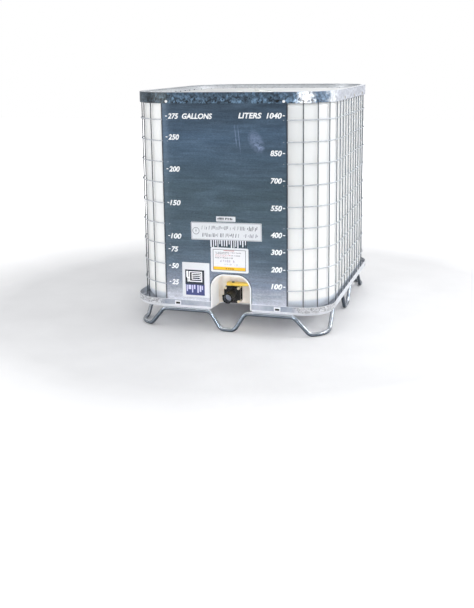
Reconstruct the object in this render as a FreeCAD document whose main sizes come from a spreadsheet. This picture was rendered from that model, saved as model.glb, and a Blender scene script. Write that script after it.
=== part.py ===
import FreeCAD, Part
import math
import os
import re

import Sketcher
from FreeCAD import Placement, Rotation, Vector

# Intermediate bulk container: a blow-moulded bottle in a welded wire cage, on a pressed steel
# pan that stands on one bent ring of tube. Millimetres, +Z up. The origin is on the floor, at
# the middle of the footprint. The valve faces -Y.

DIMENSIONS = {
    # whole container
    "overall_half_width": 508.0,
    "overall_half_depth": 609.5,
    "overall_height": 1168.0,
    "sheet_gauge": 1.5,
    # top band of the cage
    "band_height": 53.0,
    "band_radius": 249.0,
    "band_flange": 20.0,
    "band_round": 2.5,
    # pressed base pan
    "pan_radius": 150.0,
    "pan_lip_bottom": 118.9,
    "pan_lip_top": 151.0,
    "pan_floor_bottom": 108.0,
    "pan_step": 10.0,
    "pan_lip_round": 5.0,
    "pan_floor_round": 4.0,
    "pan_cut_back": 470.0,
    # tubular feet
    "tube_radius": 10.0,
    "tube_wall": 2.0,
    "tube_half_width": 480.0,
    "tube_half_depth": 600.0,
    "tube_bend": 35.0,
    "tube_corner_bend": 105.0,
    "tube_split": 243.0,
    "tube_gap": 0.1,
    "run_height": 98.0,
    "corner_front_shoulder": 333.0,
    "corner_front_toe": 408.0,
    "corner_toe_depth": 581.0,
    "corner_knee_depth": 535.0,
    "corner_side_toe": 453.0,
    "corner_side_shoulder": 366.0,
    "front_foot_half": 35.0,
    "front_shoulder_half": 90.0,
    "side_foot_half": 45.0,
    "side_shoulder_half": 120.0,
    # beams under the pan
    "beam_offset": 213.0,
    "beam_width": 40.0,
    "beam_height": 20.0,
    "beam_half_length": 589.0,
    # wire mesh
    "wire_radius": 2.5,
    "mesh_half_width": 503.9,
    "mesh_half_depth": 604.0,
    "mesh_corner": 244.9,
    "mesh_step_up": 101.6,
    "mesh_step_round": 76.2,
    "mesh_first_row": 123.0,
    "mesh_rows": 11.0,
    "mesh_lap": 290.0,
    "upright_bottom": 120.5,
    "upright_length": 1025.5,
    "left_wire_shift": 19.0,
    # front panel and its arch
    "panel_left": 316.0,
    "panel_right": 303.0,
    "panel_gauge": 1.2,
    "panel_bottom": 125.0,
    "panel_top": 1135.0,
    "panel_setback": 1.6,
    "arch_left": 75.0,
    "arch_right": 118.0,
    "arch_top": 284.0,
    "arch_radius": 66.0,
    "arch_foot": 118.0,
    "rim_radius": 2.9,
    "rim_gap": 1.6,
    "niche_clearance": 2.0,
    "liner_depth": 85.0,
    # bottle
    "bottle_half_width": 493.5,
    "bottle_half_depth": 589.5,
    "bottle_radius": 235.0,
    "bottle_wall": 4.0,
    "bottle_bottom": 109.5,
    "bottle_top": 1146.0,
    "bottle_top_round": 50.0,
    "bottle_bottom_round": 68.0,
    "niche_back": 455.0,
    "niche_round": 18.0,
    "dish_radius": 125.0,
    "dish_floor": 1114.0,
    "neck_radius": 73.0,
    "neck_bore": 65.0,
    "neck_top": 1136.0,
    "outlet_boss_radius": 40.0,
    "outlet_boss_length": 20.0,
    "outlet_bore": 24.0,
    # fill lid and its vent plug
    "lid_radius": 82.0,
    "lid_top": 1150.0,
    "lid_skirt_bottom": 1120.0,
    "lid_plate_bottom": 1139.0,
    "vent_bore": 16.0,
    "vent_radius": 22.0,
    "vent_seat": 1146.0,
    "vent_plug_top": 1156.0,
    "vent_shank_length": 15.0,
    # outlet valve
    "valve_height": 167.0,
    "valve_centre": 497.0,
    "valve_half_width": 42.0,
    "valve_half_height": 42.5,
    "valve_corner": 13.0,
    "valve_body_half": 12.0,
    "valve_body_inset": 3.0,
    "valve_flange": 8.0,
    "valve_bore": 17.0,
    "liner_bore": 16.8,
    "liner_radius": 20.0,
    "disc_radius": 16.75,
    "disc_half_thickness": 2.5,
    "disc_hub": 9.5,
    "disc_pin_radius": 1.5,
    "running_gap": 0.05,
    "fixed_gap": 0.02,
    "gasket": 3.0,
    "bolt_offset": 33.5,
    "bolt_radius": 5.0,
    "bolt_play": 0.3,
    "bolt_tail": 13.0,
    "bolt_head_radius": 7.0,
    "bolt_head_height": 6.0,
    "nut_height": 5.0,
    "neck_flange_radius": 32.0,
    "spigot_radius": 26.0,
    "spigot_mouth": 595.0,
    "thread_length": 30.0,
    "thread_depth": 1.2,
    "plug_radius": 19.0,
    "plug_face": 562.0,
    "plug_seat": 545.0,
    "plug_wall": 3.0,
    "plug_grip_length": 24.0,
    "plug_grip_width": 4.0,
    "plug_grip_height": 4.5,
    "stem_radius": 6.5,
    "stem_foot": 29.5,
    "stem_top": 211.5,
    "stem_square": 8.5,
    "stem_square_length": 10.5,
    "handle_screw_radius": 2.5,
    "handle_screw_length": 16.0,
    "handle_screw_head": 7.0,
    "handle_screw_head_height": 3.5,
    "handle_screw_socket": 2.9,
    "handle_bottom": 212.0,
    "handle_thickness": 13.0,
    "handle_left": 32.0,
    "handle_right": 81.0,
    "handle_width": 38.0,
    "handle_corner": 13.0,
    "handle_round": 2.5,
    "handle_wall": 4.0,
    "handle_hollow_start": 12.0,
    "handle_hollow_end": 46.0,
    "handle_hollow_corner": 4.0,
    # plates on the panel
    "plate_gauge": 0.7,
    # how far a cutting shape runs past what it cuts
    "past": 5.0,
    "well_past": 20.0,
}

doc = FreeCAD.newDocument("intermediate_bulk_container")
sheet = doc.addObject("Spreadsheet::Sheet", "dims")
for row, (alias, size) in enumerate(DIMENSIONS.items(), start=1):
    sheet.set(f"A{row}", alias)
    sheet.set(f"B{row}", str(size))
    sheet.setAlias(f"B{row}", alias)
doc.recompute()

WORD = re.compile(r"[a-z_]+")
TERM = re.compile(r"([+-]?)\s*(?:(\d+(?:\.\d+)?)\s*\*\s*)?([a-z_]+|\d+(?:\.\d+)?)")
LAY_FRONT = Rotation(Vector(1, 0, 0), 90)   # turns a part's own +Z to -Y
LAY_RIGHT = Rotation(Vector(0, 1, 0), 90)   # turns a part's own +Z to +X
NODES = {}


def formula(text):
    """The sheet's name goes before each alias of a sum such as 'bottle_top - 2*bottle_wall'."""
    return WORD.sub(lambda word: "dims." + word.group(0), text)


def number(text):
    """The value of the same sum, for a shape that is made in code."""
    total = 0.0
    for sign, factor, term in TERM.findall(text):
        size = DIMENSIONS[term] if term in DIMENSIONS else float(term)
        total += size * float(factor or 1) * (-1 if sign == "-" else 1)
    return total


def bind(item, **sizes):
    for name, text in sizes.items():
        item.setExpression(name, formula(text))
    return item


def move(item, x="0", y="0", z="0", turn=Rotation()):
    item.Placement = Placement(Vector(number(x), number(y), number(z)), turn)
    for axis, text in zip("xyz", (x, y, z)):
        item.setExpression(f".Placement.Base.{axis}", formula(text))
    return item


def node(item, name):
    """Names a finished sub-part, which gives its file its name."""
    item.Label = name
    NODES[name] = item
    return item


# ---- primitives and booleans -------------------------------------------------------------

def box(name, length, width, height, **place):
    item = bind(doc.addObject("Part::Box", name), Length=length, Width=width, Height=height)
    return move(item, **place)


def cylinder(name, radius, height, **place):
    item = bind(doc.addObject("Part::Cylinder", name), Radius=radius, Height=height)
    return move(item, **place)


def hexagon(name, radius, height, **place):
    item = doc.addObject("Part::Prism", name)
    item.Polygon = 6
    bind(item, Circumradius=radius, Height=height)
    return move(item, **place)


def sphere(name, radius, **place):
    return move(bind(doc.addObject("Part::Sphere", name), Radius=radius), **place)


def torus(name, ring, bead, **place):
    item = bind(doc.addObject("Part::Torus", name), Radius1=ring, Radius2=bead)
    return move(item, **place)


def fuse(name, *parts):
    item = doc.addObject("Part::MultiFuse", name)
    item.Shapes = list(parts)
    return item


def cut(name, base, *tools):
    item = doc.addObject("Part::Cut", name)
    item.Base = base
    item.Tool = tools[0] if len(tools) == 1 else fuse(name + "_tools", *tools)
    return item


def group(name, parts):
    """Loose solids of one kind, kept as one sub-part."""
    item = doc.addObject("Part::Compound", name)
    item.Links = parts
    return node(item, name)


# ---- PartDesign --------------------------------------------------------------------------

def new_body(name):
    return doc.addObject("PartDesign::Body", name)


def new_sketch(owner, name, plane="XY_Plane", x="0", y="0", out="0"):
    sketch = owner.newObject("Sketcher::SketchObject", name)
    origin = [item for item in owner.Origin.OriginFeatures if item.Role == plane][0]
    sketch.AttachmentSupport = (origin, [""])
    sketch.MapMode = "FlatFace"
    sketch.AttachmentOffset = Placement(Vector(number(x), number(y), number(out)), Rotation())
    for axis, text in zip("xyz", (x, y, out)):
        sketch.setExpression(f".AttachmentOffset.Base.{axis}", formula(text))
    return sketch


def limit(sketch, kind, first, second, name, text):
    """A driving distance between two sketch points, bound to the sheet."""
    index = sketch.addConstraint(Sketcher.Constraint(kind, *first, *second, number(text)))
    sketch.renameConstraint(index, name)
    sketch.setExpression(f"Constraints.{name}", formula(text))


ORIGIN = (-1, 1)


def rounded_rectangle(sketch, half_x, half_y, radius):
    """A rectangle about the sketch's origin, with an arc at each corner."""
    a, b, r = number(half_x), number(half_y), number(radius)
    corners = [(a, b), (-a, b), (-a, -b), (a, -b)]
    arcs = []
    for quarter, (x, y) in enumerate(corners):
        centre = Vector(x - math.copysign(r, x), y - math.copysign(r, y), 0)
        circle = Part.Circle(centre, Vector(0, 0, 1), r)
        start = quarter * math.pi / 2
        arcs.append(sketch.addGeometry(Part.ArcOfCircle(circle, start, start + math.pi / 2)))
    lines = []
    for quarter in range(4):
        start = sketch.getPoint(arcs[quarter], 2)
        end = sketch.getPoint(arcs[(quarter + 1) % 4], 1)
        lines.append(sketch.addGeometry(Part.LineSegment(start, end)))
    for quarter in range(4):
        following = arcs[(quarter + 1) % 4]
        level = "Horizontal" if quarter % 2 == 0 else "Vertical"
        sketch.addConstraint(Sketcher.Constraint("Tangent", arcs[quarter], 2, lines[quarter], 1))
        sketch.addConstraint(Sketcher.Constraint("Tangent", lines[quarter], 2, following, 1))
        sketch.addConstraint(Sketcher.Constraint(level, lines[quarter]))
        if quarter:
            sketch.addConstraint(Sketcher.Constraint("Equal", arcs[0], arcs[quarter]))
    index = sketch.addConstraint(Sketcher.Constraint("Radius", arcs[0], r))
    sketch.renameConstraint(index, "corner")
    sketch.setExpression("Constraints.corner", formula(radius))
    top, left, bottom, right = lines
    limit(sketch, "DistanceY", ORIGIN, (top, 1), "up", half_y)
    limit(sketch, "DistanceX", (left, 1), ORIGIN, "left", half_x)
    limit(sketch, "DistanceY", (bottom, 1), ORIGIN, "down", half_y)
    limit(sketch, "DistanceX", ORIGIN, (right, 1), "right", half_x)


def rectangle(sketch, left, right, low, high):
    """A rectangle from -left to +right and from low to high."""
    x0, x1, y0, y1 = -number(left), number(right), number(low), number(high)
    points = [Vector(x0, y0, 0), Vector(x1, y0, 0), Vector(x1, y1, 0), Vector(x0, y1, 0)]
    lines = []
    for index in range(4):
        lines.append(sketch.addGeometry(Part.LineSegment(points[index], points[(index + 1) % 4])))
    for index in range(4):
        following = lines[(index + 1) % 4]
        level = "Horizontal" if index % 2 == 0 else "Vertical"
        sketch.addConstraint(Sketcher.Constraint("Coincident", lines[index], 2, following, 1))
        sketch.addConstraint(Sketcher.Constraint(level, lines[index]))
    limit(sketch, "DistanceX", (lines[0], 1), ORIGIN, "left", left)
    limit(sketch, "DistanceX", ORIGIN, (lines[1], 1), "right", right)
    limit(sketch, "DistanceY", ORIGIN, (lines[0], 1), "low", low)
    limit(sketch, "DistanceY", ORIGIN, (lines[2], 1), "high", high)


def arch(sketch, grow, foot, closed=True):
    """The outlet opening's outline, grown outwards by a margin, standing on the height foot."""
    left, right = f"arch_left + {grow}", f"arch_right + {grow}"
    top, radius = f"arch_top + {grow}", f"arch_radius + {grow}"
    x0, x1, y0 = -number(left), number(right), number(foot)
    y1, r = number(top), number(radius)
    axis = Vector(0, 0, 1)
    right_arc = Part.Circle(Vector(x1 - r, y1 - r, 0), axis, r)
    left_arc = Part.Circle(Vector(x0 + r, y1 - r, 0), axis, r)
    rise = sketch.addGeometry(Part.LineSegment(Vector(x1, y0, 0), Vector(x1, y1 - r, 0)))
    one = sketch.addGeometry(Part.ArcOfCircle(right_arc, 0, math.pi / 2))
    crown = sketch.addGeometry(Part.LineSegment(Vector(x1 - r, y1, 0), Vector(x0 + r, y1, 0)))
    two = sketch.addGeometry(Part.ArcOfCircle(left_arc, math.pi / 2, math.pi))
    fall = sketch.addGeometry(Part.LineSegment(Vector(x0, y1 - r, 0), Vector(x0, y0, 0)))
    for first, second in ((rise, one), (one, crown), (crown, two), (two, fall)):
        sketch.addConstraint(Sketcher.Constraint("Tangent", first, 2, second, 1))
    sketch.addConstraint(Sketcher.Constraint("Vertical", rise))
    sketch.addConstraint(Sketcher.Constraint("Horizontal", crown))
    sketch.addConstraint(Sketcher.Constraint("Vertical", fall))
    sketch.addConstraint(Sketcher.Constraint("Equal", one, two))
    index = sketch.addConstraint(Sketcher.Constraint("Radius", one, r))
    sketch.renameConstraint(index, "corner")
    sketch.setExpression("Constraints.corner", formula(radius))
    limit(sketch, "DistanceX", ORIGIN, (rise, 1), "right", right)
    limit(sketch, "DistanceX", (fall, 2), ORIGIN, "left", left)
    limit(sketch, "DistanceY", ORIGIN, (crown, 1), "top", top)
    limit(sketch, "DistanceY", ORIGIN, (rise, 1), "foot", foot)
    if closed:
        sill = sketch.addGeometry(Part.LineSegment(Vector(x0, y0, 0), Vector(x1, y0, 0)))
        sketch.addConstraint(Sketcher.Constraint("Coincident", fall, 2, sill, 1))
        sketch.addConstraint(Sketcher.Constraint("Coincident", sill, 2, rise, 1))
        sketch.addConstraint(Sketcher.Constraint("Horizontal", sill))
    else:
        limit(sketch, "DistanceY", ORIGIN, (fall, 2), "other_foot", foot)


def round_outline(sketch, radius, x=0.0, y=0.0):
    """A circle on the sketch's origin, its radius bound to the sheet."""
    circle = Part.Circle(Vector(x, y, 0), Vector(0, 0, 1), number(radius))
    index = sketch.addGeometry(circle)
    sketch.addConstraint(Sketcher.Constraint("Coincident", index, 3, -1, 1))
    mark = sketch.addConstraint(Sketcher.Constraint("Radius", index, number(radius)))
    sketch.renameConstraint(mark, "round")
    sketch.setExpression("Constraints.round", formula(radius))


def pad(owner, sketch, length, reverse=False):
    item = owner.newObject("PartDesign::Pad", sketch.Name + "_pad")
    item.Profile = sketch
    item.Reversed = reverse
    sketch.Visibility = False
    return bind(item, Length=length)


def pocket(owner, sketch, length):
    """Cuts from the sketch against its plane's normal."""
    item = owner.newObject("PartDesign::Pocket", sketch.Name + "_pocket")
    item.Profile = sketch
    return bind(item, Length=length)


def edges_where(feature, test):
    doc.recompute()
    names = []
    for index, edge in enumerate(feature.Shape.Edges, start=1):
        if test(edge.BoundBox):
            names.append(f"Edge{index}")
    return names


def fillet(owner, feature, radius, test):
    """Rounds the edges whose box passes the test."""
    item = owner.newObject("PartDesign::Fillet", feature.Name + "_round")
    item.Base = (feature, edges_where(feature, test))
    return bind(item, Radius=radius)


def flat_at(height):
    """True for an edge that lies level at the height."""
    return lambda edge: abs(edge.ZMin - height) < 0.01 and abs(edge.ZMax - height) < 0.01


# ---- swept round stock -------------------------------------------------------------------

def bent_wire(points, radii):
    """A wire through the points, bent round an arc at each inner point."""
    edges = []
    last = points[0]
    for index in range(1, len(points) - 1):
        corner = points[index]
        back = (points[index - 1] - corner).normalize()
        ahead = (points[index + 1] - corner).normalize()
        half = back.getAngle(ahead) / 2
        reach = radii[index - 1] / math.tan(half)
        inward = (back + ahead).normalize()
        middle = corner + inward * (radii[index - 1] / math.sin(half) - radii[index - 1])
        start = corner + back * reach
        end = corner + ahead * reach
        if (start - last).Length > 0.001:
            edges.append(Part.makeLine(last, start))
        edges.append(Part.Arc(start, middle, end).toShape())
        last = end
    edges.append(Part.makeLine(last, points[-1]))
    return Part.Wire(edges)


def swept_round(path, radius):
    first = path.Edges[0]
    start = first.valueAt(first.FirstParameter)
    along = first.tangentAt(first.FirstParameter)
    profile = Part.Wire(Part.makeCircle(radius, start, along))
    solid = path.makePipeShell([profile], True, False)
    return solid if solid.Volume > 0 else solid.reversed()


def tube(points, radii):
    path = bent_wire(points, radii)
    outer = swept_round(path, number("tube_radius"))
    return outer.cut(swept_round(path, number("tube_radius - tube_wall")))


def feature(name, shape):
    item = doc.addObject("Part::Feature", name)
    item.Shape = shape
    item.Placement = Placement()
    return node(item, name)


def mirrored(points):
    """The same points on the other side of the YZ plane, in the opposite order."""
    return [Vector(-point.x, point.y, point.z) for point in reversed(points)]


# ---- base: bent tube, beams and pan --------------------------------------------------------

def foot_side(sign, split_side):
    """The right-hand half of a foot tube, from its end on the side to the front centre foot."""
    wide, deep = number("tube_half_width"), sign * number("tube_half_depth")
    run, floor = number("run_height"), number("tube_radius")
    points = [
        Vector(wide, split_side, run),
    ]
    if sign < 0:
        for y, z in (("side_shoulder_half", run), ("side_foot_half", floor)):
            points.append(Vector(wide, number(y), z))
        for y, z in (("side_foot_half", floor), ("side_shoulder_half", run)):
            points.append(Vector(wide, -number(y), z))
    points += [
        Vector(wide, sign * number("corner_side_shoulder"), run),
        Vector(wide, sign * number("corner_side_toe"), floor),
        Vector(wide, sign * number("corner_knee_depth"), floor),
        Vector(number("corner_front_toe"), sign * number("corner_toe_depth"), floor),
        Vector(number("corner_front_shoulder"), deep, run),
        Vector(number("front_shoulder_half"), deep, run),
        Vector(number("front_foot_half"), deep, floor),
    ]
    return points


def foot_tube(name, sign):
    split_side = number("tube_split - tube_gap") if sign < 0 else number("tube_split + tube_gap")
    side = foot_side(sign, split_side)
    points = side + mirrored(side)
    bends = [number("tube_bend")] * (len(side) - 1)
    bends[side.index(Vector(side[0].x, sign * number("corner_knee_depth"),
                            number("tube_radius"))) - 1] = number("tube_corner_bend")
    return feature(name, tube(points, bends + bends[::-1]))


def cross_beam(name, centre):
    """A pressed channel, open downwards, from the front run of the ring to the rear run."""
    outside = box(name + "_outside", "beam_width", "2*beam_half_length", "beam_height",
                  x=centre + " - 0.5*beam_width", y="-beam_half_length",
                  z="pan_floor_bottom - beam_height")
    hollow = box(name + "_hollow", "beam_width - 2*tube_wall", "2*beam_half_length + 2",
                 "beam_height", x=centre + " - 0.5*beam_width + tube_wall",
                 y="-beam_half_length - 1", z="pan_floor_bottom - beam_height - tube_wall")
    return node(cut(name, outside, hollow), name)


def centre_foot():
    """A short bent tube between the beams, which carries the middle of the pan."""
    run, floor = number("run_height"), number("tube_radius")
    end = number("beam_offset - 0.5*beam_width - tube_gap")
    side = [Vector(end, 0, run), Vector(number("front_shoulder_half"), 0, run),
            Vector(number("front_foot_half"), 0, floor)]
    bend = number("tube_bend")
    return feature("centre_foot", tube(side + mirrored(side), [bend] * 4))


def base_pan():
    owner = new_body("pan_body")
    lip = new_sketch(owner, "pan_lip", out="pan_lip_bottom")
    rounded_rectangle(lip, "overall_half_width", "overall_half_depth", "pan_radius")
    wall = pad(owner, lip, "pan_lip_top - pan_lip_bottom")
    wall = fillet(owner, wall, "pan_lip_round", flat_at(number("pan_lip_bottom")))
    drop = new_sketch(owner, "pan_drop", out="pan_floor_bottom")
    rounded_rectangle(drop, "overall_half_width - pan_step", "overall_half_depth - pan_step",
                      "pan_radius - pan_step")
    floor = pad(owner, drop, "pan_lip_bottom - pan_floor_bottom + 1")
    fillet(owner, floor, "pan_floor_round", flat_at(number("pan_floor_bottom")))
    inside = new_sketch(owner, "pan_inside", out="pan_lip_top")
    rounded_rectangle(inside, "overall_half_width - sheet_gauge",
                      "overall_half_depth - sheet_gauge", "pan_radius - sheet_gauge")
    pocket(owner, inside, "pan_lip_top - pan_lip_bottom - sheet_gauge")
    sump = new_sketch(owner, "pan_sump", out="pan_lip_top")
    rounded_rectangle(sump, "overall_half_width - pan_step - sheet_gauge",
                      "overall_half_depth - pan_step - sheet_gauge",
                      "pan_radius - pan_step - sheet_gauge")
    pocket(owner, sump, "pan_lip_top - pan_floor_bottom - sheet_gauge")
    notch = new_sketch(owner, "pan_notch", out="pan_lip_top + 1")
    rectangle(notch, "arch_left + 2*rim_radius + rim_gap", "arch_right + 2*rim_radius + rim_gap",
              "-overall_half_depth - past", "-pan_cut_back")
    pocket(owner, notch, "pan_lip_top - pan_floor_bottom + past")
    return node(owner, "base_pan")


# ---- cage: wires, panel, band --------------------------------------------------------------

def mesh_point(run, half_width, half_depth, corner):
    """The plan point that lies the distance run from the middle of the front, turning right."""
    front = half_width - corner
    curve = corner * math.pi / 2
    side = 2 * (half_depth - corner)
    if run <= front:
        return Vector(run, -half_depth, 0)
    if run <= front + curve:
        angle = (run - front) / corner
        return Vector(front + corner * math.sin(angle),
                      -half_depth + corner * (1 - math.cos(angle)), 0)
    if run <= front + curve + side:
        return Vector(half_width, -half_depth + corner + run - front - curve, 0)
    if run <= front + 2 * curve + side:
        angle = (run - front - curve - side) / corner
        return Vector(half_width - corner * (1 - math.cos(angle)),
                      half_depth - corner * (1 - math.sin(angle)), 0)
    return Vector(half_width - corner - (run - front - 2 * curve - side), half_depth, 0)


def vertical_wires():
    """Uprights at even steps round the cage, counted from the middle of the front both ways."""
    inset = number("2*wire_radius + 0.02")
    half_width = number("mesh_half_width") - inset
    half_depth = number("mesh_half_depth") - inset
    corner = number("mesh_corner") - inset
    step = number("mesh_step_round")
    reach = number("mesh_half_width + mesh_half_depth - 2*mesh_corner") * 2
    half_round = (reach + math.pi * number("mesh_corner"))
    scale = (half_round - math.pi * inset) / half_round
    first = math.ceil((number("panel_right") - inset) / step)
    last = int(half_round / step)
    wires = []
    for side, shift in ((1, 0.0), (-1, number("left_wire_shift"))):
        for index in range(first, last + 1):
            run = index * step * scale + shift
            point = mesh_point(run, half_width, half_depth, corner)
            if point.y > half_depth - 1 and point.x < step / 2:
                continue
            base = Vector(side * point.x, point.y, number("upright_bottom"))
            wires.append(Part.makeCylinder(number("wire_radius"), number("upright_length"), base))
    seam = Vector(0, half_depth, number("upright_bottom"))
    wires.append(Part.makeCylinder(number("wire_radius"), number("upright_length"), seam))
    return feature("vertical_wires", Part.makeCompound(wires))


def horizontal_wires():
    lap, wide, deep = (number(word) for word in ("mesh_lap", "mesh_half_width", "mesh_half_depth"))
    side = [Vector(lap, -deep, 0), Vector(wide, -deep, 0), Vector(wide, deep, 0)]
    path = bent_wire(side + mirrored(side), [number("mesh_corner")] * 4)
    ring = swept_round(path, number("wire_radius"))
    rings = []
    for row in range(int(number("mesh_rows"))):
        height = number("mesh_first_row") + row * number("mesh_step_up")
        rings.append(ring.translated(Vector(0, 0, height)))
    return feature("horizontal_wires", Part.makeCompound(rings))


def front_panel():
    """One sheet, flat in front, its side edges bowed back with the corners of the cage."""
    owner = new_body("panel_body")
    outside = new_sketch(owner, "panel_outside", out="panel_bottom")
    rounded_rectangle(outside, "overall_half_width - panel_setback",
                      "overall_half_depth - panel_setback", "band_radius - panel_setback")
    pad(owner, outside, "panel_top - panel_bottom")
    inside = new_sketch(owner, "panel_inside", out="panel_top + 1")
    rounded_rectangle(inside, "overall_half_width - panel_setback - panel_gauge",
                      "overall_half_depth - panel_setback - panel_gauge",
                      "band_radius - panel_setback - panel_gauge")
    pocket(owner, inside, "panel_top - panel_bottom + 2")
    for name, left, right, low in (
            ("panel_behind", "overall_half_width + past", "overall_half_width + past", "0"),
            ("panel_left_end", "overall_half_width + past", "-panel_left",
             "-overall_half_depth - past"),
            ("panel_right_end", "-panel_right", "overall_half_width + past",
             "-overall_half_depth - past")):
        offcut = new_sketch(owner, name, out="panel_top + 1")
        rectangle(offcut, left, right, low, "overall_half_depth + past")
        pocket(owner, offcut, "panel_top - panel_bottom + 2")
    opening = new_sketch(owner, "panel_arch", "XZ_Plane", out="overall_half_depth + past")
    arch(opening, "2*rim_radius + rim_gap", "panel_bottom - past")
    pocket(owner, opening, "well_past")
    holes = new_sketch(owner, "panel_screw_holes", "XZ_Plane", out="overall_half_depth + past")
    screw_circles(holes)
    pocket(owner, holes, "well_past")
    return node(owner, "front_panel")


SCREW_ACROSS, SCREW_UP = 289.0, 1124.0
SCREW_HOLE, SCREW_SHANK, SCREW_HEAD = 3.0, 2.5, 6.5
SCREW_HEAD_HEIGHT, SCREW_LENGTH = 2.5, 8.0
SCREW_SLOT = (6.0, 1.6, 3.0)


def screw_circles(sketch):
    for side in (-1, 1):
        centre = Vector(side * SCREW_ACROSS, SCREW_UP, 0)
        sketch.addGeometry(Part.Circle(centre, Vector(0, 0, 1), SCREW_HOLE))


def niche_rim():
    """The moulded surround of the valve niche: a round bead, a collar and a thin liner."""
    owner = new_body("rim_body")
    spine = new_sketch(owner, "rim_spine", "XZ_Plane", out="overall_half_depth - rim_radius")
    arch(spine, "rim_radius", "arch_foot", closed=False)
    profile = new_sketch(owner, "rim_profile", "XY_Plane", x="arch_right + rim_radius",
                         y="-overall_half_depth + rim_radius", out="arch_foot")
    round_outline(profile, "rim_radius")
    sweep = owner.newObject("PartDesign::AdditivePipe", "rim_sweep")
    sweep.Profile = profile
    sweep.Spine = spine
    collar = new_sketch(owner, "rim_collar", "XZ_Plane", out="bottle_half_depth")
    arch(collar, "2*rim_radius - 1", "arch_foot")
    pad(owner, collar, "overall_half_depth - rim_radius - bottle_half_depth")
    liner = new_sketch(owner, "rim_liner", "XZ_Plane", out="bottle_half_depth - liner_depth")
    arch(liner, "niche_clearance - running_gap", "arch_foot")
    pad(owner, liner, "liner_depth + 1")
    opening = new_sketch(owner, "rim_opening", "XZ_Plane", out="overall_half_depth - rim_radius")
    arch(opening, "0", "arch_foot - past")
    pocket(owner, opening, "overall_half_depth")
    return node(owner, "niche_rim")


def top_band():
    owner = new_body("band_body")
    outline = new_sketch(owner, "band_outline", out="overall_height")
    rounded_rectangle(outline, "overall_half_width", "overall_half_depth", "band_radius")
    solid = pad(owner, outline, "band_height", reverse=True)
    fillet(owner, solid, "band_round", flat_at(number("overall_height")))
    inside = new_sketch(owner, "band_inside", out="overall_height - sheet_gauge")
    rounded_rectangle(inside, "overall_half_width - sheet_gauge",
                      "overall_half_depth - sheet_gauge", "band_radius - sheet_gauge")
    pocket(owner, inside, "band_height")
    mouth = new_sketch(owner, "band_mouth", out="overall_height + 1")
    rounded_rectangle(mouth, "overall_half_width - band_flange",
                      "overall_half_depth - band_flange", "band_radius - band_flange")
    pocket(owner, mouth, "well_past")
    holes = new_sketch(owner, "band_screw_holes", "XZ_Plane", out="overall_half_depth + past")
    screw_circles(holes)
    pocket(owner, holes, "well_past")
    rivet_holes = new_sketch(owner, "band_rivet_holes", "YZ_Plane",
                             out="overall_half_width + past")
    for y in RIVET_PLACES:
        centre = Vector(y, RIVET_UP, 0)
        rivet_holes.addGeometry(Part.Circle(centre, Vector(0, 0, 1), SCREW_HOLE))
    pocket(owner, rivet_holes, "2*overall_half_width + 2*past")
    return node(owner, "top_band")


RIVET_PLACES = (-250.0, 23.0, 268.0)
RIVET_UP = 1127.0
RIVET_HEAD, RIVET_HEAD_HEIGHT, RIVET_TAIL, RIVET_TAIL_HEIGHT = 6.0, 2.0, 4.0, 1.5
RIVET_GRIP = 5.0


def band_corner(across):
    """The point of the band's front corner at a distance across, and the way it faces."""
    radius = number("band_radius")
    lean = math.asin((abs(across) - number("overall_half_width - band_radius")) / radius)
    depth = number("overall_half_depth - band_radius") + radius * math.cos(lean)
    return Vector(across, -depth, SCREW_UP), math.copysign(math.degrees(lean), across)


def panel_screws():
    screws = []
    for name, across in (("left_screw", -SCREW_ACROSS), ("right_screw", SCREW_ACROSS)):
        seat, lean = band_corner(across)
        turn = Rotation(Vector(0, 0, 1), lean) * LAY_FRONT
        parts = []
        for label, make, sizes, offset in (
                ("head", cylinder, (SCREW_HEAD, SCREW_HEAD_HEIGHT), (0, 0, 0)),
                ("shank", cylinder, (SCREW_SHANK, SCREW_LENGTH), (0, 0, 1 - SCREW_LENGTH)),
                ("slot", box, SCREW_SLOT, (-SCREW_SLOT[0] / 2, -SCREW_SLOT[1] / 2, 1.5))):
            spot = seat + turn.multVec(Vector(*offset))
            x, y, z = (f"{value:.4f}" for value in spot)
            parts.append(make(f"{name}_{label}", *map(str, sizes), x=x, y=y, z=z, turn=turn))
        head, shank, slot = parts
        screws.append(cut(name, fuse(name + "_solid", head, shank), slot))
    return group("panel_screws", screws)


def band_rivets():
    rivets = []
    for label, sign, inward, turn in (("left", "-", "+", -90), ("right", "", "-", 90)):
        for index, y in enumerate(RIVET_PLACES):
            name = f"{label}_rivet_{index + 1}"
            place = dict(y=str(y), z=str(RIVET_UP), turn=Rotation(Vector(0, 1, 0), turn))
            root = f"{sign}overall_half_width {inward} {RIVET_GRIP}"
            head = cylinder(name + "_head", str(RIVET_HEAD), str(RIVET_HEAD_HEIGHT),
                            x=f"{sign}overall_half_width", **place)
            shank = cylinder(name + "_shank", str(SCREW_SHANK), str(RIVET_GRIP + 1), x=root,
                             **place)
            tail = cylinder(name + "_tail", str(RIVET_TAIL), str(RIVET_TAIL_HEIGHT), x=root,
                            **place)
            rivets.append(fuse(name, head, shank, tail))
    return group("band_rivets", rivets)


CLIP_HALF, CLIP_LOW, CLIP_HIGH = 16.0, 119.0, 145.0
CLIP_THICK, CLIP_SLOT_HALF, CLIP_SLOT_LOW, CLIP_SLOT_HIGH = 4.0, 11.5, 127.5, 138.5
CLIP_PLACES = (-252.5, 254.5)


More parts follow.
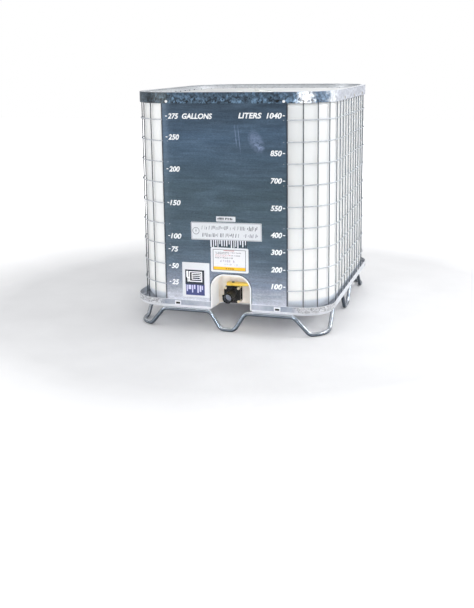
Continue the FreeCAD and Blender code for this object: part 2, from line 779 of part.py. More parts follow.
def pan_clips():
    """Saddle clips on the pan's front and rear walls, each with a slot for a lashing strap."""
    clips = []
    for back in (False, True):
        for index, x in enumerate(CLIP_PLACES):
            name = f"{'rear' if back else 'front'}_clip_{index + 1}"
            y = "overall_half_depth" if back else f"-overall_half_depth - {CLIP_THICK}"
            plate = box(name + "_plate", str(2 * CLIP_HALF), str(CLIP_THICK),
                        str(CLIP_HIGH - CLIP_LOW - 5), x=f"{x} - {CLIP_HALF}", y=y,
                        z=str(CLIP_LOW + 5))
            slot_y = "overall_half_depth - 1" if back else f"-overall_half_depth - {CLIP_THICK + 1}"
            slot = box(name + "_slot", str(2 * CLIP_SLOT_HALF), str(CLIP_THICK + 2),
                       str(CLIP_SLOT_HIGH - CLIP_SLOT_LOW), x=f"{x} - {CLIP_SLOT_HALF}",
                       y=slot_y, z=str(CLIP_SLOT_LOW))
            clips.append(cut(name, plate, slot))
    return group("pan_clips", clips)


# ---- bottle, lid and vent ------------------------------------------------------------------

def bottle_form(name, inset):
    """The moulded form, drawn in by an inset: 0 gives the outside, the wall gives the cavity."""
    owner = new_body(name)
    plan = new_sketch(owner, name + "_plan", out=f"bottle_bottom + {inset}")
    rounded_rectangle(plan, f"bottle_half_width - {inset}", f"bottle_half_depth - {inset}",
                      f"bottle_radius - {inset}")
    solid = pad(owner, plan, f"bottle_top - bottle_bottom - 2*{inset}")
    top = number(f"bottle_top - {inset}")
    bottom = number(f"bottle_bottom + {inset}")
    solid = fillet(owner, solid, f"bottle_top_round - {inset}", flat_at(top))
    solid = fillet(owner, solid, f"bottle_bottom_round - {inset}", flat_at(bottom))
    niche = new_sketch(owner, name + "_niche", "XZ_Plane", out="bottle_half_depth + well_past")
    arch(niche, f"niche_clearance + {inset}", "bottle_bottom - well_past")
    solid = pocket(owner, niche, f"bottle_half_depth + well_past - niche_back + {inset}")
    back = number(f"-niche_back + {inset}")
    solid = fillet(owner, solid, f"niche_round + {inset}",
                   lambda edge: abs(edge.YMin - back) < 0.01 and abs(edge.YMax - back) < 0.01
                   and edge.ZMax > bottom + 1)
    dish = new_sketch(owner, name + "_dish", out="bottle_top + 1")
    round_outline(dish, f"dish_radius + {inset}")
    pocket(owner, dish, f"bottle_top + 1 - dish_floor + {inset}")
    return owner


def bottle():
    outside = bottle_form("bottle_outside", "0")
    cavity = bottle_form("bottle_cavity", "bottle_wall")
    shell = cut("bottle_shell", outside, cavity)
    neck = cylinder("bottle_neck", "neck_radius", "neck_top - dish_floor + 0.5*bottle_wall",
                    z="dish_floor - 0.5*bottle_wall")
    boss = cylinder("outlet_boss", "outlet_boss_radius", "outlet_boss_length",
                    y="-niche_back + outlet_boss_length", z="valve_height", turn=LAY_FRONT)
    solid = fuse("bottle_with_necks", shell, neck, boss)
    mouth = cylinder("bottle_mouth", "neck_bore", "neck_top - dish_floor + 2*well_past",
                     z="dish_floor - well_past")
    outlet = cylinder("bottle_outlet", "outlet_bore", "outlet_boss_length + 2",
                      y="-niche_back + outlet_boss_length + 1", z="valve_height", turn=LAY_FRONT)
    return node(cut("bottle_moulding", solid, mouth, outlet), "bottle")


def ring(name, outer, inner, height, **place):
    margin = place["turn"].multVec(Vector(0, 0, 1)) if "turn" in place else Vector(0, 0, 1)
    rim = cylinder(name + "_rim", outer, height, **place)
    hole_place = dict(place)
    for axis, step in zip("xyz", margin):
        if abs(step) > 0.5:
            sign = "-" if step > 0 else "+"
            hole_place[axis] = f"{place.get(axis, '0')} {sign} 1"
    hole = cylinder(name + "_hole", inner, f"{height} + 2", **hole_place)
    return cut(name + "_ring", rim, hole)


LUG_COUNT, LUG_DEPTH, LUG_WIDTH, LUG_SUNK = 12, 9.0, 12.0, 3.0


def fill_lid():
    """A screw lid with grip lugs round its skirt and a raised seat for the vent plug."""
    cap = cylinder("lid_cap", "lid_radius", "lid_top - lid_skirt_bottom", z="lid_skirt_bottom")
    lugs = []
    for index in range(LUG_COUNT):
        turn = Rotation(Vector(0, 0, 1), index * 360 / LUG_COUNT)
        spot = turn.multVec(Vector(number("lid_radius") - LUG_SUNK, -LUG_WIDTH / 2, 0))
        lugs.append(box(f"lid_lug_{index + 1}", str(LUG_DEPTH), str(LUG_WIDTH),
                        f"lid_top - lid_skirt_bottom - {LUG_SUNK}", x=f"{spot.x:.4f}",
                        y=f"{spot.y:.4f}", z="lid_skirt_bottom", turn=turn))
    solid = fuse("lid_solid", cap, *lugs)
    inside = cylinder("lid_inside", "neck_radius + 0.6", "lid_plate_bottom - lid_skirt_bottom + 1",
                      z="lid_skirt_bottom - 1")
    recess = ring("lid_recess", "lid_radius - 10", "vent_radius + 8",
                  "lid_top - vent_seat + 1", z="vent_seat")
    hole = cylinder("lid_vent_hole", "vent_bore", "well_past", z="lid_plate_bottom - past")
    seat = cylinder("lid_vent_seat", "vent_radius + 0.5", "well_past", z="vent_seat")
    return node(cut("lid", solid, inside, recess, hole, seat), "fill_lid")


def vent_plug():
    head = hexagon("vent_head", "vent_radius", "vent_plug_top - vent_seat - 2", z="vent_seat + 2")
    shank = cylinder("vent_shank", "vent_bore - running_gap", "vent_shank_length",
                     z="vent_seat + 3 - vent_shank_length")
    hollow = cylinder("vent_hollow", "vent_bore - bottle_wall", "vent_shank_length + 1",
                      z="vent_seat + 2 - vent_shank_length")
    return node(cut("vent", fuse("vent_solid", head, shank), hollow), "vent_plug")


# ---- outlet valve --------------------------------------------------------------------------

# How far in front of the container's middle each face of the valve lies.
BODY_BACK = "valve_centre - valve_body_half"
BODY_FRONT = "valve_centre + valve_body_half"
BACK_FACE = BODY_BACK + " - valve_flange"
FRONT_FACE = BODY_FRONT + " + valve_flange"


def ahead(distance):
    """The y of a distance to the front: the same sum with its signs turned round."""
    return "-" + distance.translate(str.maketrans("+-", "-+"))


def along_flow(name, radius, height, start, make=cylinder, x="0", z="valve_height"):
    """A round or hexagonal solid that runs forwards from a distance ahead of the middle."""
    return make(name, radius, height, x=x, y=ahead(start), z=z, turn=LAY_FRONT)


def bolt_row(name, make, radius, height, start):
    """Four like solids on the corners of the valve's bolt square."""
    pieces = []
    for across in "-+":
        for up in "-+":
            pieces.append(along_flow(f"{name}_{len(pieces) + 1}", radius, height, start, make,
                                     x=f"0 {across} bolt_offset",
                                     z=f"valve_height {up} bolt_offset"))
    return pieces


def square_slab(name, inset, thickness, start, slotted=True):
    """A round-cornered slab across the flow, its bolt holes slotted out to the sides or closed."""
    owner = new_body(name)
    outline = new_sketch(owner, name + "_outline", "XZ_Plane", y="valve_height", out=start)
    rounded_rectangle(outline, f"valve_half_width - {inset}", f"valve_half_height - {inset}",
                      f"valve_corner - {inset}")
    pad(owner, outline, thickness)
    cuts = bolt_row(name + "_bolt_hole", cylinder, "bolt_radius + bolt_play", f"{thickness} + 2",
                    f"{start} - 1")
    if slotted:
        for index, (left, up) in enumerate((
                ("-bolt_offset - well_past", "-"), ("-bolt_offset - well_past", "+"),
                ("bolt_offset", "-"), ("bolt_offset", "+"))):
            low = f"valve_height {up} bolt_offset - bolt_radius - bolt_play"
            cuts.append(box(f"{name}_slot_{index + 1}", "well_past", f"{thickness} + 2",
                            "2*bolt_radius + 2*bolt_play", x=left,
                            y=ahead(f"{start} + 1 + {thickness}"), z=low))
    return cut(name + "_drilled", owner, *cuts)


def valve_inlet_end():
    plate = square_slab("inlet_plate", "0", "valve_flange", BACK_FACE, slotted=False)
    collar = along_flow("inlet_collar", "neck_flange_radius",
                        "valve_centre - valve_body_half - valve_flange - niche_back - gasket",
                        "niche_back + gasket")
    spigot = along_flow("inlet_spigot", "outlet_bore - running_gap",
                        "outlet_boss_length + gasket", "niche_back - outlet_boss_length")
    bore = along_flow("inlet_bore", "valve_bore", "valve_centre - niche_back + 2*well_past",
                      "niche_back - outlet_boss_length - past")
    return node(cut("inlet_end", fuse("inlet_solid", plate, collar, spigot), bore),
                "valve_inlet_end")


def valve_body():
    slab = square_slab("body_slab", "valve_body_inset", "2*valve_body_half", BODY_BACK)
    boss = cylinder("stem_boss", "valve_body_half", "stem_top - valve_height - 0.5",
                    y="-valve_centre", z="valve_height")
    seat_bore = along_flow("liner_hole", "liner_radius + fixed_gap", "2*valve_body_half + 2",
                           BODY_BACK + " - 1")
    stem_hole = cylinder("stem_hole", "stem_radius + running_gap",
                         "stem_foot + stem_top - valve_height + past",
                         y="-valve_centre", z="valve_height - stem_foot - 0.5")
    return node(cut("body_bored", fuse("body_solid", slab, boss), seat_bore, stem_hole),
                "valve_body")


THREAD_PITCH, THREAD_CREST = 3.0, 1.6


def valve_outlet_end():
    plate = square_slab("outlet_plate", "0", "valve_flange", BODY_FRONT)
    spigot = along_flow("outlet_spigot", "spigot_radius",
                        "spigot_mouth - valve_centre - valve_body_half", BODY_FRONT)
    bore = along_flow("outlet_through", "valve_bore", "spigot_mouth - valve_centre + past",
                      BODY_FRONT + " - past")
    mouth = along_flow("outlet_mouth", "plug_radius", "spigot_mouth - plug_seat + past",
                       "plug_seat")
    grooves = []
    for turn in range(int(number("thread_length") / THREAD_PITCH)):
        start = f"spigot_mouth - {(turn + 1) * THREAD_PITCH:.1f}"
        groove = ring(f"thread_{turn + 1}", "spigot_radius + 2", "spigot_radius - thread_depth",
                      f"{THREAD_PITCH - THREAD_CREST:.1f}", y=ahead(start), z="valve_height",
                      turn=LAY_FRONT)
        grooves.append(groove)
    return node(cut("outlet_end", fuse("outlet_solid", plate, spigot), bore, mouth, *grooves),
                "valve_outlet_end")


def disc_seat():
    """The rubber liner that the disc closes against, pierced above and below for the stem."""
    sleeve = ring("seat_sleeve", "liner_radius", "liner_bore", "2*valve_body_half",
                  y=ahead(BODY_BACK), z="valve_height", turn=LAY_FRONT)
    stem_hole = cylinder("seat_stem_hole", "stem_radius + 2*running_gap", "4*liner_radius",
                         y="-valve_centre", z="valve_height - 2*liner_radius")
    return node(cut("seat", sleeve, stem_hole), "disc_seat")


def valve_disc():
    """The butterfly: a slice of a ball with a hub down the middle, pinned to the stem."""
    ball = sphere("disc_ball", "disc_radius", y="-valve_centre", z="valve_height")
    web = box("disc_web", "4*disc_radius", "2*disc_half_thickness", "4*disc_radius",
              x="-2*disc_radius", y="-valve_centre - disc_half_thickness",
              z="valve_height - 2*disc_radius")
    hub = cylinder("disc_hub", "disc_hub", "4*disc_radius", y="-valve_centre",
                   z="valve_height - 2*disc_radius")
    form = doc.addObject("Part::MultiCommon", "disc_form")
    form.Shapes = [ball, fuse("disc_plan", web, hub)]
    shaft = cylinder("disc_stem_hole", "stem_radius + fixed_gap", "4*disc_radius",
                     y="-valve_centre", z="valve_height - 2*disc_radius")
    pin = along_flow("disc_pin_hole", "disc_pin_radius + fixed_gap", "2*well_past",
                     "valve_centre - well_past")
    return node(cut("disc", form, shaft, pin), "valve_disc")


STEM_GROOVES = (27.5, 34.0)
STEM_GROOVE_HEIGHT, STEM_GROOVE_DEPTH = 2.2, 2.1
RING_BEAD = 1.0


def valve_stem():
    shaft = cylinder("stem_shaft", "stem_radius", "stem_foot + stem_top - valve_height",
                     y="-valve_centre", z="valve_height - stem_foot")
    square = box("stem_square_end", "stem_square", "stem_square", "stem_square_length",
                 x="-0.5*stem_square", y="-valve_centre - 0.5*stem_square", z="stem_top - 0.5")
    grooves = []
    for index, up in enumerate(STEM_GROOVES):
        grooves.append(ring(f"stem_groove_{index + 1}", "stem_radius + 2",
                            f"stem_radius - {STEM_GROOVE_DEPTH}", str(STEM_GROOVE_HEIGHT),
                            y="-valve_centre",
                            z=f"valve_height + {up - STEM_GROOVE_HEIGHT / 2}"))
    tapped = cylinder("stem_tapped_hole", "handle_screw_radius + running_gap",
                      "stem_square_length + 3", y="-valve_centre", z="stem_top - 2")
    pin = along_flow("stem_pin_hole", "disc_pin_radius + fixed_gap", "2*well_past",
                     "valve_centre - well_past")
    return node(cut("stem", fuse("stem_solid", shaft, square), tapped, pin, *grooves),
                "valve_stem")


def disc_pin():
    pin = along_flow("pin", "disc_pin_radius", "2*disc_hub - 2", "valve_centre - disc_hub + 1")
    return node(pin, "disc_pin")


def stem_o_rings():
    rings = []
    for index, up in enumerate(STEM_GROOVES):
        rings.append(torus(f"stem_o_ring_{index + 1}", f"stem_radius - {RING_BEAD}", str(RING_BEAD),
                           y="-valve_centre", z=f"valve_height + {up}"))
    return group("stem_o_rings", rings)


TAPER_START, TAPER_ANGLE, TAPER_LENGTH, TAPER_CUT = 40.0, 15.0, 90.0, 30.0


def valve_handle():
    """The lever: a flat bar on the stem's square, hollow underneath, its far end tapered."""
    owner = new_body("handle_body")
    outline = new_sketch(owner, "handle_outline", x="0.5*handle_right - 0.5*handle_left",
                         y="-valve_centre", out="handle_bottom")
    rounded_rectangle(outline, "0.5*handle_right + 0.5*handle_left", "0.5*handle_width",
                      "handle_corner")
    solid = pad(owner, outline, "handle_thickness")
    top = number("handle_bottom + handle_thickness")
    solid = fillet(owner, solid, "handle_round", flat_at(top))
    hollow = new_sketch(owner, "handle_hollow", y="-valve_centre", out="handle_bottom",
                        x="0.5*handle_hollow_start + 0.5*handle_hollow_end")
    rounded_rectangle(hollow, "0.5*handle_hollow_end - 0.5*handle_hollow_start",
                      "0.5*handle_width - handle_wall", "handle_hollow_corner")
    under = pocket(owner, hollow, "handle_thickness - handle_wall")
    under.Reversed = True
    square = new_sketch(owner, "handle_square", y="-valve_centre", out="handle_bottom")
    rounded_rectangle(square, "0.5*stem_square + 0.1", "0.5*stem_square + 0.1", "0.1")
    socket = pocket(owner, square, "10.5")
    socket.Reversed = True
    hole = new_sketch(owner, "handle_screw_hole", y="-valve_centre",
                      out="handle_bottom + well_past")
    round_outline(hole, "handle_screw_radius + bolt_play")
    pocket(owner, hole, "well_past")
    trims = []
    for name, sign in (("front_taper", -1), ("rear_taper", 1)):
        spot = Vector(TAPER_START, sign * number("0.5*handle_width"), 0)
        turn = Rotation(Vector(0, 0, 1), -sign * TAPER_ANGLE)
        offset = Vector(0, 0 if sign > 0 else -TAPER_CUT, 0)
        place = spot + turn.multVec(offset)
        trims.append(box(name, str(TAPER_LENGTH), str(TAPER_CUT), "handle_thickness + 2",
                         x=f"{place.x:.4f}", y=f"-valve_centre + {place.y:.4f}",
                         z="handle_bottom - 1", turn=turn))
    return node(cut("tapered_handle", owner, *trims), "valve_handle")


def handle_screw():
    head = cylinder("handle_screw_head", "handle_screw_head", "handle_screw_head_height",
                    y="-valve_centre", z="handle_bottom + handle_thickness")
    shank = cylinder("handle_screw_shank", "handle_screw_radius", "handle_screw_length",
                     y="-valve_centre",
                     z="handle_bottom + handle_thickness + 1 - handle_screw_length")
    driver = hexagon("handle_screw_socket", "handle_screw_socket", "handle_screw_head_height",
                     y="-valve_centre", z="handle_bottom + handle_thickness + 1.5")
    return node(cut("lever_screw", fuse("lever_screw_solid", head, shank), driver), "handle_screw")


def valve_fasteners():
    heads = bolt_row("bolt_head", hexagon, "bolt_head_radius", "bolt_head_height", FRONT_FACE)
    shanks = bolt_row("bolt_shank", cylinder, "bolt_radius",
                      "2*valve_body_half + 2*valve_flange + bolt_tail + 1",
                      BACK_FACE + " - bolt_tail")
    group("valve_bolts", [fuse(f"valve_bolt_{index + 1}", head, shank)
                          for index, (head, shank) in enumerate(zip(heads, shanks))])
    blanks = bolt_row("nut_blank", hexagon, "bolt_head_radius", "nut_height",
                      BACK_FACE + " - nut_height")
    holes = bolt_row("nut_hole", cylinder, "bolt_radius + running_gap", "nut_height + 2",
                     BACK_FACE + " - nut_height - 1")
    group("valve_nuts", [cut(f"valve_nut_{index + 1}", blank, hole)
                         for index, (blank, hole) in enumerate(zip(blanks, holes))])


def dust_plug():
    """A cup that closes the outlet, with a bar across its face to turn it by."""
    cup = along_flow("plug_cup", "plug_radius - running_gap", "plug_face - plug_seat - gasket",
                     "plug_seat + gasket")
    hollow = along_flow("plug_hollow", "plug_radius - plug_wall",
                        "plug_face - plug_seat - gasket - plug_wall", "plug_seat + gasket - 1")
    grip = box("plug_grip", "plug_grip_length", "plug_grip_height + 0.5", "plug_grip_width",
               x="-0.5*plug_grip_length", y="-plug_face - plug_grip_height",
               z="valve_height - 0.5*plug_grip_width")
    return node(cut("plug", fuse("plug_solid", cup, grip), hollow), "dust_plug")


# ---- plates on the panel -------------------------------------------------------------------

def plate(name, left, right, low, high, radius, tilt=0.0, layer=0):
    """A thin round-cornered plate on the front panel; a second layer lies on top of the first."""
    owner = new_body(name + "_body")
    outline = new_sketch(owner, name + "_outline", "XZ_Plane", x=f"{(left + right) / 2}",
                         y=f"{(low + high) / 2}",
                         out=f"overall_half_depth - panel_setback + {layer}*plate_gauge")
    rounded_rectangle(outline, f"{(right - left) / 2}", f"{(high - low) / 2}", f"{radius}")
    pad(owner, outline, "plate_gauge")
    pivot = Vector((left + right) / 2, 0, (low + high) / 2)
    turn = Rotation(Vector(0, 1, 0), -tilt)
    owner.Placement = Placement(pivot - turn.multVec(pivot), turn)
    return node(owner, name)


def panel_plates():
    plate("rating_plate", -176, 180, 460, 547, radius=3, tilt=0.8)
    plate("name_tag", -47, 50, 552, 577, radius=2, tilt=0.8)
    plate("placard_frame", -77, 113, 302, 424, radius=7)
    plate("placard_card", -66, 100, 312, 415, radius=4, layer=1)
    plate("inspection_label", -227, -86, 167, 342, radius=3)


def make_all():
    foot_tube("front_foot_tube", -1)
    foot_tube("rear_foot_tube", 1)
    cross_beam("left_cross_beam", "-beam_offset")
    cross_beam("right_cross_beam", "beam_offset")
    centre_foot()
    base_pan()
    vertical_wires()
    horizontal_wires()
    front_panel()
    niche_rim()
    top_band()
    panel_screws()
    band_rivets()
    pan_clips()
    bottle()
    fill_lid()
    lid_seal = ring("lid_seal", "neck_radius - 0.5", "neck_bore + 0.5",
                    "lid_plate_bottom - neck_top", z="neck_top")
    node(lid_seal, "lid_gasket")
    vent_plug()
    vent_seal = ring("vent_seal", "vent_radius - 3.5", "vent_bore + 0.2", "2", z="vent_seat")
    node(vent_seal, "vent_gasket")
    inlet_seal = ring("inlet_seal", "neck_flange_radius", "outlet_bore + 0.2",
                      "gasket", y="-niche_back", z="valve_height", turn=LAY_FRONT)
    node(inlet_seal, "inlet_gasket")
    valve_inlet_end()
    valve_body()
    valve_outlet_end()
    disc_seat()
    valve_disc()
    valve_stem()
    disc_pin()
    stem_o_rings()
    valve_handle()
    handle_screw()
    valve_fasteners()
    dust_plug()
    plug_seal = ring("plug_seal", "plug_radius - 0.1", "valve_bore + 0.1", "gasket", y="-plug_seat",
                     z="valve_height", turn=LAY_FRONT)
    node(plug_seal, "plug_gasket")
    panel_plates()


make_all()
doc.recompute()

faults = []
for item in doc.Objects:
    if "Invalid" in item.State or "Error" in item.State:
        faults.append(f"{item.Name}: {item.State}")
for name, item in NODES.items():
    if item.Shape.isNull() or not item.Shape.isValid():
        faults.append(f"{name}: no valid shape")
if faults:
    raise RuntimeError("; ".join(faults))

os.makedirs("parts", exist_ok=True)
for name, item in NODES.items():
    item.Shape.exportStep(f"parts/{name}.step")
    print(name, len(item.Shape.Solids), round(item.Shape.Volume))
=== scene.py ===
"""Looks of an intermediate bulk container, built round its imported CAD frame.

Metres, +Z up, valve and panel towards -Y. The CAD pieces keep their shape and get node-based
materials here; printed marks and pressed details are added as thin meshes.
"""

import math
import random

import bmesh
import bpy
from mathutils import Matrix, Vector


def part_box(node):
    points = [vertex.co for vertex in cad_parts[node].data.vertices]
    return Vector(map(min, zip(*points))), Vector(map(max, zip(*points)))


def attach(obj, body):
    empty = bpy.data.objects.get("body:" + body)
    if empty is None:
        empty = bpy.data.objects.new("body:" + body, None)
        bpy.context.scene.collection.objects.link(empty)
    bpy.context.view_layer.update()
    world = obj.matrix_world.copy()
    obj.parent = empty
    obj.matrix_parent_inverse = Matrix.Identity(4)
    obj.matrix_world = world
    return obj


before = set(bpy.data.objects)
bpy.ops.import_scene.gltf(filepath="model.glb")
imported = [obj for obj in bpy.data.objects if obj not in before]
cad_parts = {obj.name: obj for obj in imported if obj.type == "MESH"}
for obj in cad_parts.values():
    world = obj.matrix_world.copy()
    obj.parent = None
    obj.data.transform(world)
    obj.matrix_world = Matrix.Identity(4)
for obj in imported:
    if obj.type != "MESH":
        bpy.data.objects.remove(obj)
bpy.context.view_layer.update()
MM = 0.001
PANEL_LEFT, PANEL_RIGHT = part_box("front_panel")[0].x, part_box("front_panel")[1].x
PANEL_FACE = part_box("front_panel")[0].y

# The valve's arched opening in the panel: middle, half width, top and corner radius.
ARCH_CENTRE, ARCH_HALF, ARCH_TOP, ARCH_RADIUS = 0.0215, 0.0965, 0.284, 0.066

# Pairs of places between which a material changes from one tone to the next.
PANEL_HEIGHTS = (0.15, 1.12)        # foot and head of the panel's painted reflection and shade gradient
PANEL_EDGE = (0.003, 0.006)         # painted shade, in from the panel's side edges
ARCH_EDGE = (0.0095, 0.0125)        # painted shade, out from the arch
BAND_HEIGHTS = (1.130, 1.160)       # over which the band's mottle weakens
PAN_LIP = (0.1485, 0.150)           # painted highlight along the top of the pan's wall
PAN_HEM = (0.1225, 0.1245)          # painted highlight along the hem under the pan's wall
PAN_CORNER_X = (0.318, 0.36)        # where the pan's drawn corners begin, off the middle
PAN_CORNER_Y = (0.42, 0.47)
BOTTLE_FOOT = (0.166, 0.178)        # painted bluish shade where the bottle meets the pan
BOTTLE_FRONT = (-0.585, -0.565)     # the bottle's front wall, in front of the niche
NICHE_HEAD = (0.30, 0.31)
NICHE_SIDE = (0.1005, 0.1015)       # off the arch's middle
NICHE_BACK = (-0.44, -0.43)
RIGHT_SIDE = (0.44, 0.49)           # where the wires turn on to the right side and take a paler tone of painted light


# ---- node-based materials --------------------------------------------------------------------

def linear(red, green, blue):
    """A display colour of 0 to 255 as the linear colour that a shader takes."""
    channels = []
    for value in (red, green, blue):
        value /= 255.0
        channels.append(value / 12.92 if value <= 0.04045 else ((value + 0.055) / 1.055) ** 2.4)
    return (*channels, 1.0)


class Shader:
    """A material's node tree, with short calls for the nodes used here."""

    def __init__(self, name, **principled):
        self.material = bpy.data.materials.new(name)
        self.material.use_nodes = True
        self.tree = self.material.node_tree
        self.main = self.tree.nodes["Principled BSDF"]
        self.place = self.tree.nodes.new("ShaderNodeTexCoord").outputs["Object"]
        self.set(**principled)

    def set(self, **inputs):
        for name, value in inputs.items():
            self.join(self.main.inputs[name.replace("_", " ")], value)
        return self

    def join(self, socket, value):
        """Wires a node's output to a socket, or sets the socket to a plain value."""
        if isinstance(value, bpy.types.NodeSocket):
            self.tree.links.new(value, socket)
        else:
            socket.default_value = value

    def node(self, kind, out=0, props=None, **inputs):
        """Adds a node and returns one output. An input _0 is the first, by number."""
        item = self.tree.nodes.new("ShaderNode" + kind)
        for name, value in (props or {}).items():
            setattr(item, name, value)
        for name, value in inputs.items():
            key = int(name[1:]) if name[0] == "_" else name.replace("_", " ")
            self.join(item.inputs[key], value)
        return item.outputs[out]

    def stretched(self, x=1.0, y=1.0, z=1.0):
        return self.node("Mapping", Vector=self.place, Scale=(x, y, z))

    def noise(self, scale, detail=4.0, rough=0.55, vector=None, warp=0.0):
        return self.node("TexNoise", Vector=vector or self.place, Scale=scale, Detail=detail,
                         Roughness=rough, Distortion=warp)

    def cells(self, scale, vector=None):
        """One random colour to each cell of a Voronoi pattern."""
        return self.node("TexVoronoi", out="Color", Vector=vector or self.place, Scale=scale)

    def ramp(self, factor, stops):
        item = self.tree.nodes.new("ShaderNodeValToRGB")
        ramp = item.color_ramp
        while len(ramp.elements) < len(stops):
            ramp.elements.new(0.5)
        for element, (place, colour) in zip(ramp.elements, stops):
            element.position = place
            element.color = colour
        self.join(item.inputs[0], factor)
        return item.outputs[0]

    def span(self, value, low, high, out_low=0.0, out_high=1.0):
        return self.node("MapRange", Value=value, From_Min=low, From_Max=high, To_Min=out_low,
                         To_Max=out_high)

    def maths(self, operation, first, second=0.0):
        return self.node("Math", props={"operation": operation}, _0=first, _1=second)

    def mix(self, factor, first, second, mode="MIX"):
        item = self.tree.nodes.new("ShaderNodeMix")
        item.data_type = "RGBA"
        item.blend_type = mode
        for socket, value in zip((item.inputs[0], item.inputs[6], item.inputs[7]),
                                 (factor, first, second)):
            self.join(socket, value)
        return item.outputs[2]

    def axis(self, letter, source=None):
        parts = self.tree.nodes.new("ShaderNodeSeparateXYZ")
        self.join(parts.inputs[0], source or self.place)
        return parts.outputs["XYZ".index(letter)]

    def bump(self, height, strength, depth, under=None):
        item = self.tree.nodes.new("ShaderNodeBump")
        self.join(item.inputs["Height"], height)
        item.inputs["Strength"].default_value = strength
        item.inputs["Distance"].default_value = depth
        if under is not None:
            self.join(item.inputs["Normal"], under)
        return item.outputs[0]


def spangle(shader, scale):
    """Zinc crystals: one random grey to each cell, at two sizes."""
    warp = shader.noise(scale * 0.4, 2.0)
    place = shader.node("VectorMath", props={"operation": "ADD"}, _0=shader.place, _1=warp)
    big = shader.axis("X", shader.cells(scale, place))
    small = shader.axis("Y", shader.cells(scale * 2.7, place))
    return shader.mix(0.4, big, small)


def galvanised(name, colour, crystal, contrast, metal=0.35, rough=(0.28, 0.5), relief=None):
    """Hot-dip zinc on sheet: spangle, cloudy stains, fine scratches. colour is a socket or rgba."""
    shader = Shader(name, Metallic=metal)
    if callable(colour):
        colour = colour(shader)
    crystals = spangle(shader, crystal)
    clouds = shader.noise(7.0, 5.0)
    tone = shader.span(crystals, 0.0, 1.0, 1.0 - contrast, 1.0 + contrast)
    stain = shader.span(clouds, 0.3, 0.7, 0.94, 1.05)
    level = shader.maths("MULTIPLY", tone, stain)
    shade = shader.node("CombineColor", _0=level, _1=level, _2=level)
    shader.set(Base_Color=shader.mix(1.0, colour, shade, "MULTIPLY"))
    shader.set(Roughness=shader.span(crystals, 0.0, 1.0, *rough))
    scratches = shader.noise(900.0, 2.0, vector=shader.stretched(1.0, 1.0, 0.06))
    fine = shader.bump(scratches, 0.12, 0.0004)
    if relief:
        fine = relief(shader, fine)
    shader.set(Normal=shader.bump(crystals, 0.10, 0.0006, under=fine))
    return shader.material


def spot(shader, x, z, half_x, half_z, edge=0.35, lean=0.0):
    """1 inside an oval on the front of the object, falling to 0 round its edge."""
    above = shader.maths("SUBTRACT", shader.axis("Z"), z)
    middle = shader.maths("ADD", x, shader.maths("MULTIPLY", above, lean))
    across = shader.maths("DIVIDE", shader.maths("SUBTRACT", shader.axis("X"), middle), half_x)
    up = shader.maths("DIVIDE", above, half_z)
    far = shader.maths("ADD", shader.maths("MULTIPLY", across, across),
                       shader.maths("MULTIPLY", up, up))
    return shader.span(far, 1.0 - edge, 1.0 + edge, 1.0, 0.0)


def panel_colour(shader):
    """Painted reflection and shade: the panel darkens to slate at the top, more so under the band,
    and pales towards the floor, with rolled streaks.
    """
    height = shader.span(shader.axis("Z"), *PANEL_HEIGHTS)
    drift = shader.noise(2.2, 3.0)
    height = shader.maths("ADD", height, shader.span(drift, 0.3, 0.7, -0.03, 0.03))
    base = shader.ramp(height, [
        (0.00, linear(206, 209, 219)), (0.10, linear(134, 143, 159)),
        (0.20, linear(90, 106, 121)), (0.30, linear(76, 93, 106)),
        (0.55, linear(70, 89, 100)), (0.85, linear(74, 97, 120)), (1.00, linear(56, 72, 87))])
    streaks = shader.noise(26.0, 5.0, 0.6, vector=shader.stretched(0.16, 1.0, 1.0), warp=0.4)
    base = shader.mix(shader.span(streaks, 0.45, 0.72, 0.0, 0.36), base, linear(102, 125, 148))
    dark = shader.noise(18.0, 4.0, 0.6, vector=shader.stretched(0.12, 1.0, 1.0), warp=0.3)
    base = shader.mix(shader.span(dark, 0.5, 0.75, 0.0, 0.35), base, linear(42, 54, 64))
    rolled = shader.noise(110.0, 4.0, 0.7, vector=shader.stretched(0.06, 1.0, 1.0), warp=0.2)
    grain = shader.noise(230.0, 3.0, 0.8, vector=shader.stretched(0.5, 1.0, 1.0))
    texture = shader.maths("MULTIPLY", shader.span(rolled, 0.35, 0.65, 0.86, 1.14),
                           shader.span(grain, 0.35, 0.65, 0.80, 1.20))
    shade = shader.node("CombineColor", _0=texture, _1=texture, _2=texture)
    base = shader.mix(1.0, base, shade, "MULTIPLY")
    # Painted shade along the panel's sides and round the arch.
    base = shader.mix(painted_edge_shade(shader), base, linear(40, 48, 58))
    return shader.mix(rubbed_marks(shader), base, linear(146, 164, 198))


def painted_edge_shade(shader):
    """How much painted shade the panel gets along its two sides and round the arch."""
    near, far = PANEL_EDGE
    across = shader.axis("X")
    left = shader.span(across, PANEL_LEFT + near, PANEL_LEFT + far, 1.0, 0.0)
    right = shader.span(across, PANEL_RIGHT - far, PANEL_RIGHT - near)
    sides = shader.maths("MULTIPLY", shader.maths("MAXIMUM", left, right), 0.75)
    mouth = shader.span(arch_distance(shader), *ARCH_EDGE, 0.85, 0.0)
    return shader.maths("MAXIMUM", sides, mouth)


def arch_distance(shader):
    """How far a point of the panel lies outside the valve's arched opening."""
    across = shader.maths("ABSOLUTE", shader.maths("SUBTRACT", shader.axis("X"), ARCH_CENTRE))
    across = shader.maths("SUBTRACT", across, ARCH_HALF - ARCH_RADIUS)
    above = shader.maths("SUBTRACT", shader.axis("Z"), ARCH_TOP - ARCH_RADIUS)
    across = shader.maths("MAXIMUM", across, 0.0)
    above = shader.maths("MAXIMUM", above, 0.0)
    square = shader.maths("ADD", shader.maths("MULTIPLY", across, across),
                          shader.maths("MULTIPLY", above, above))
    return shader.maths("SUBTRACT", shader.maths("SQRT", square), ARCH_RADIUS)


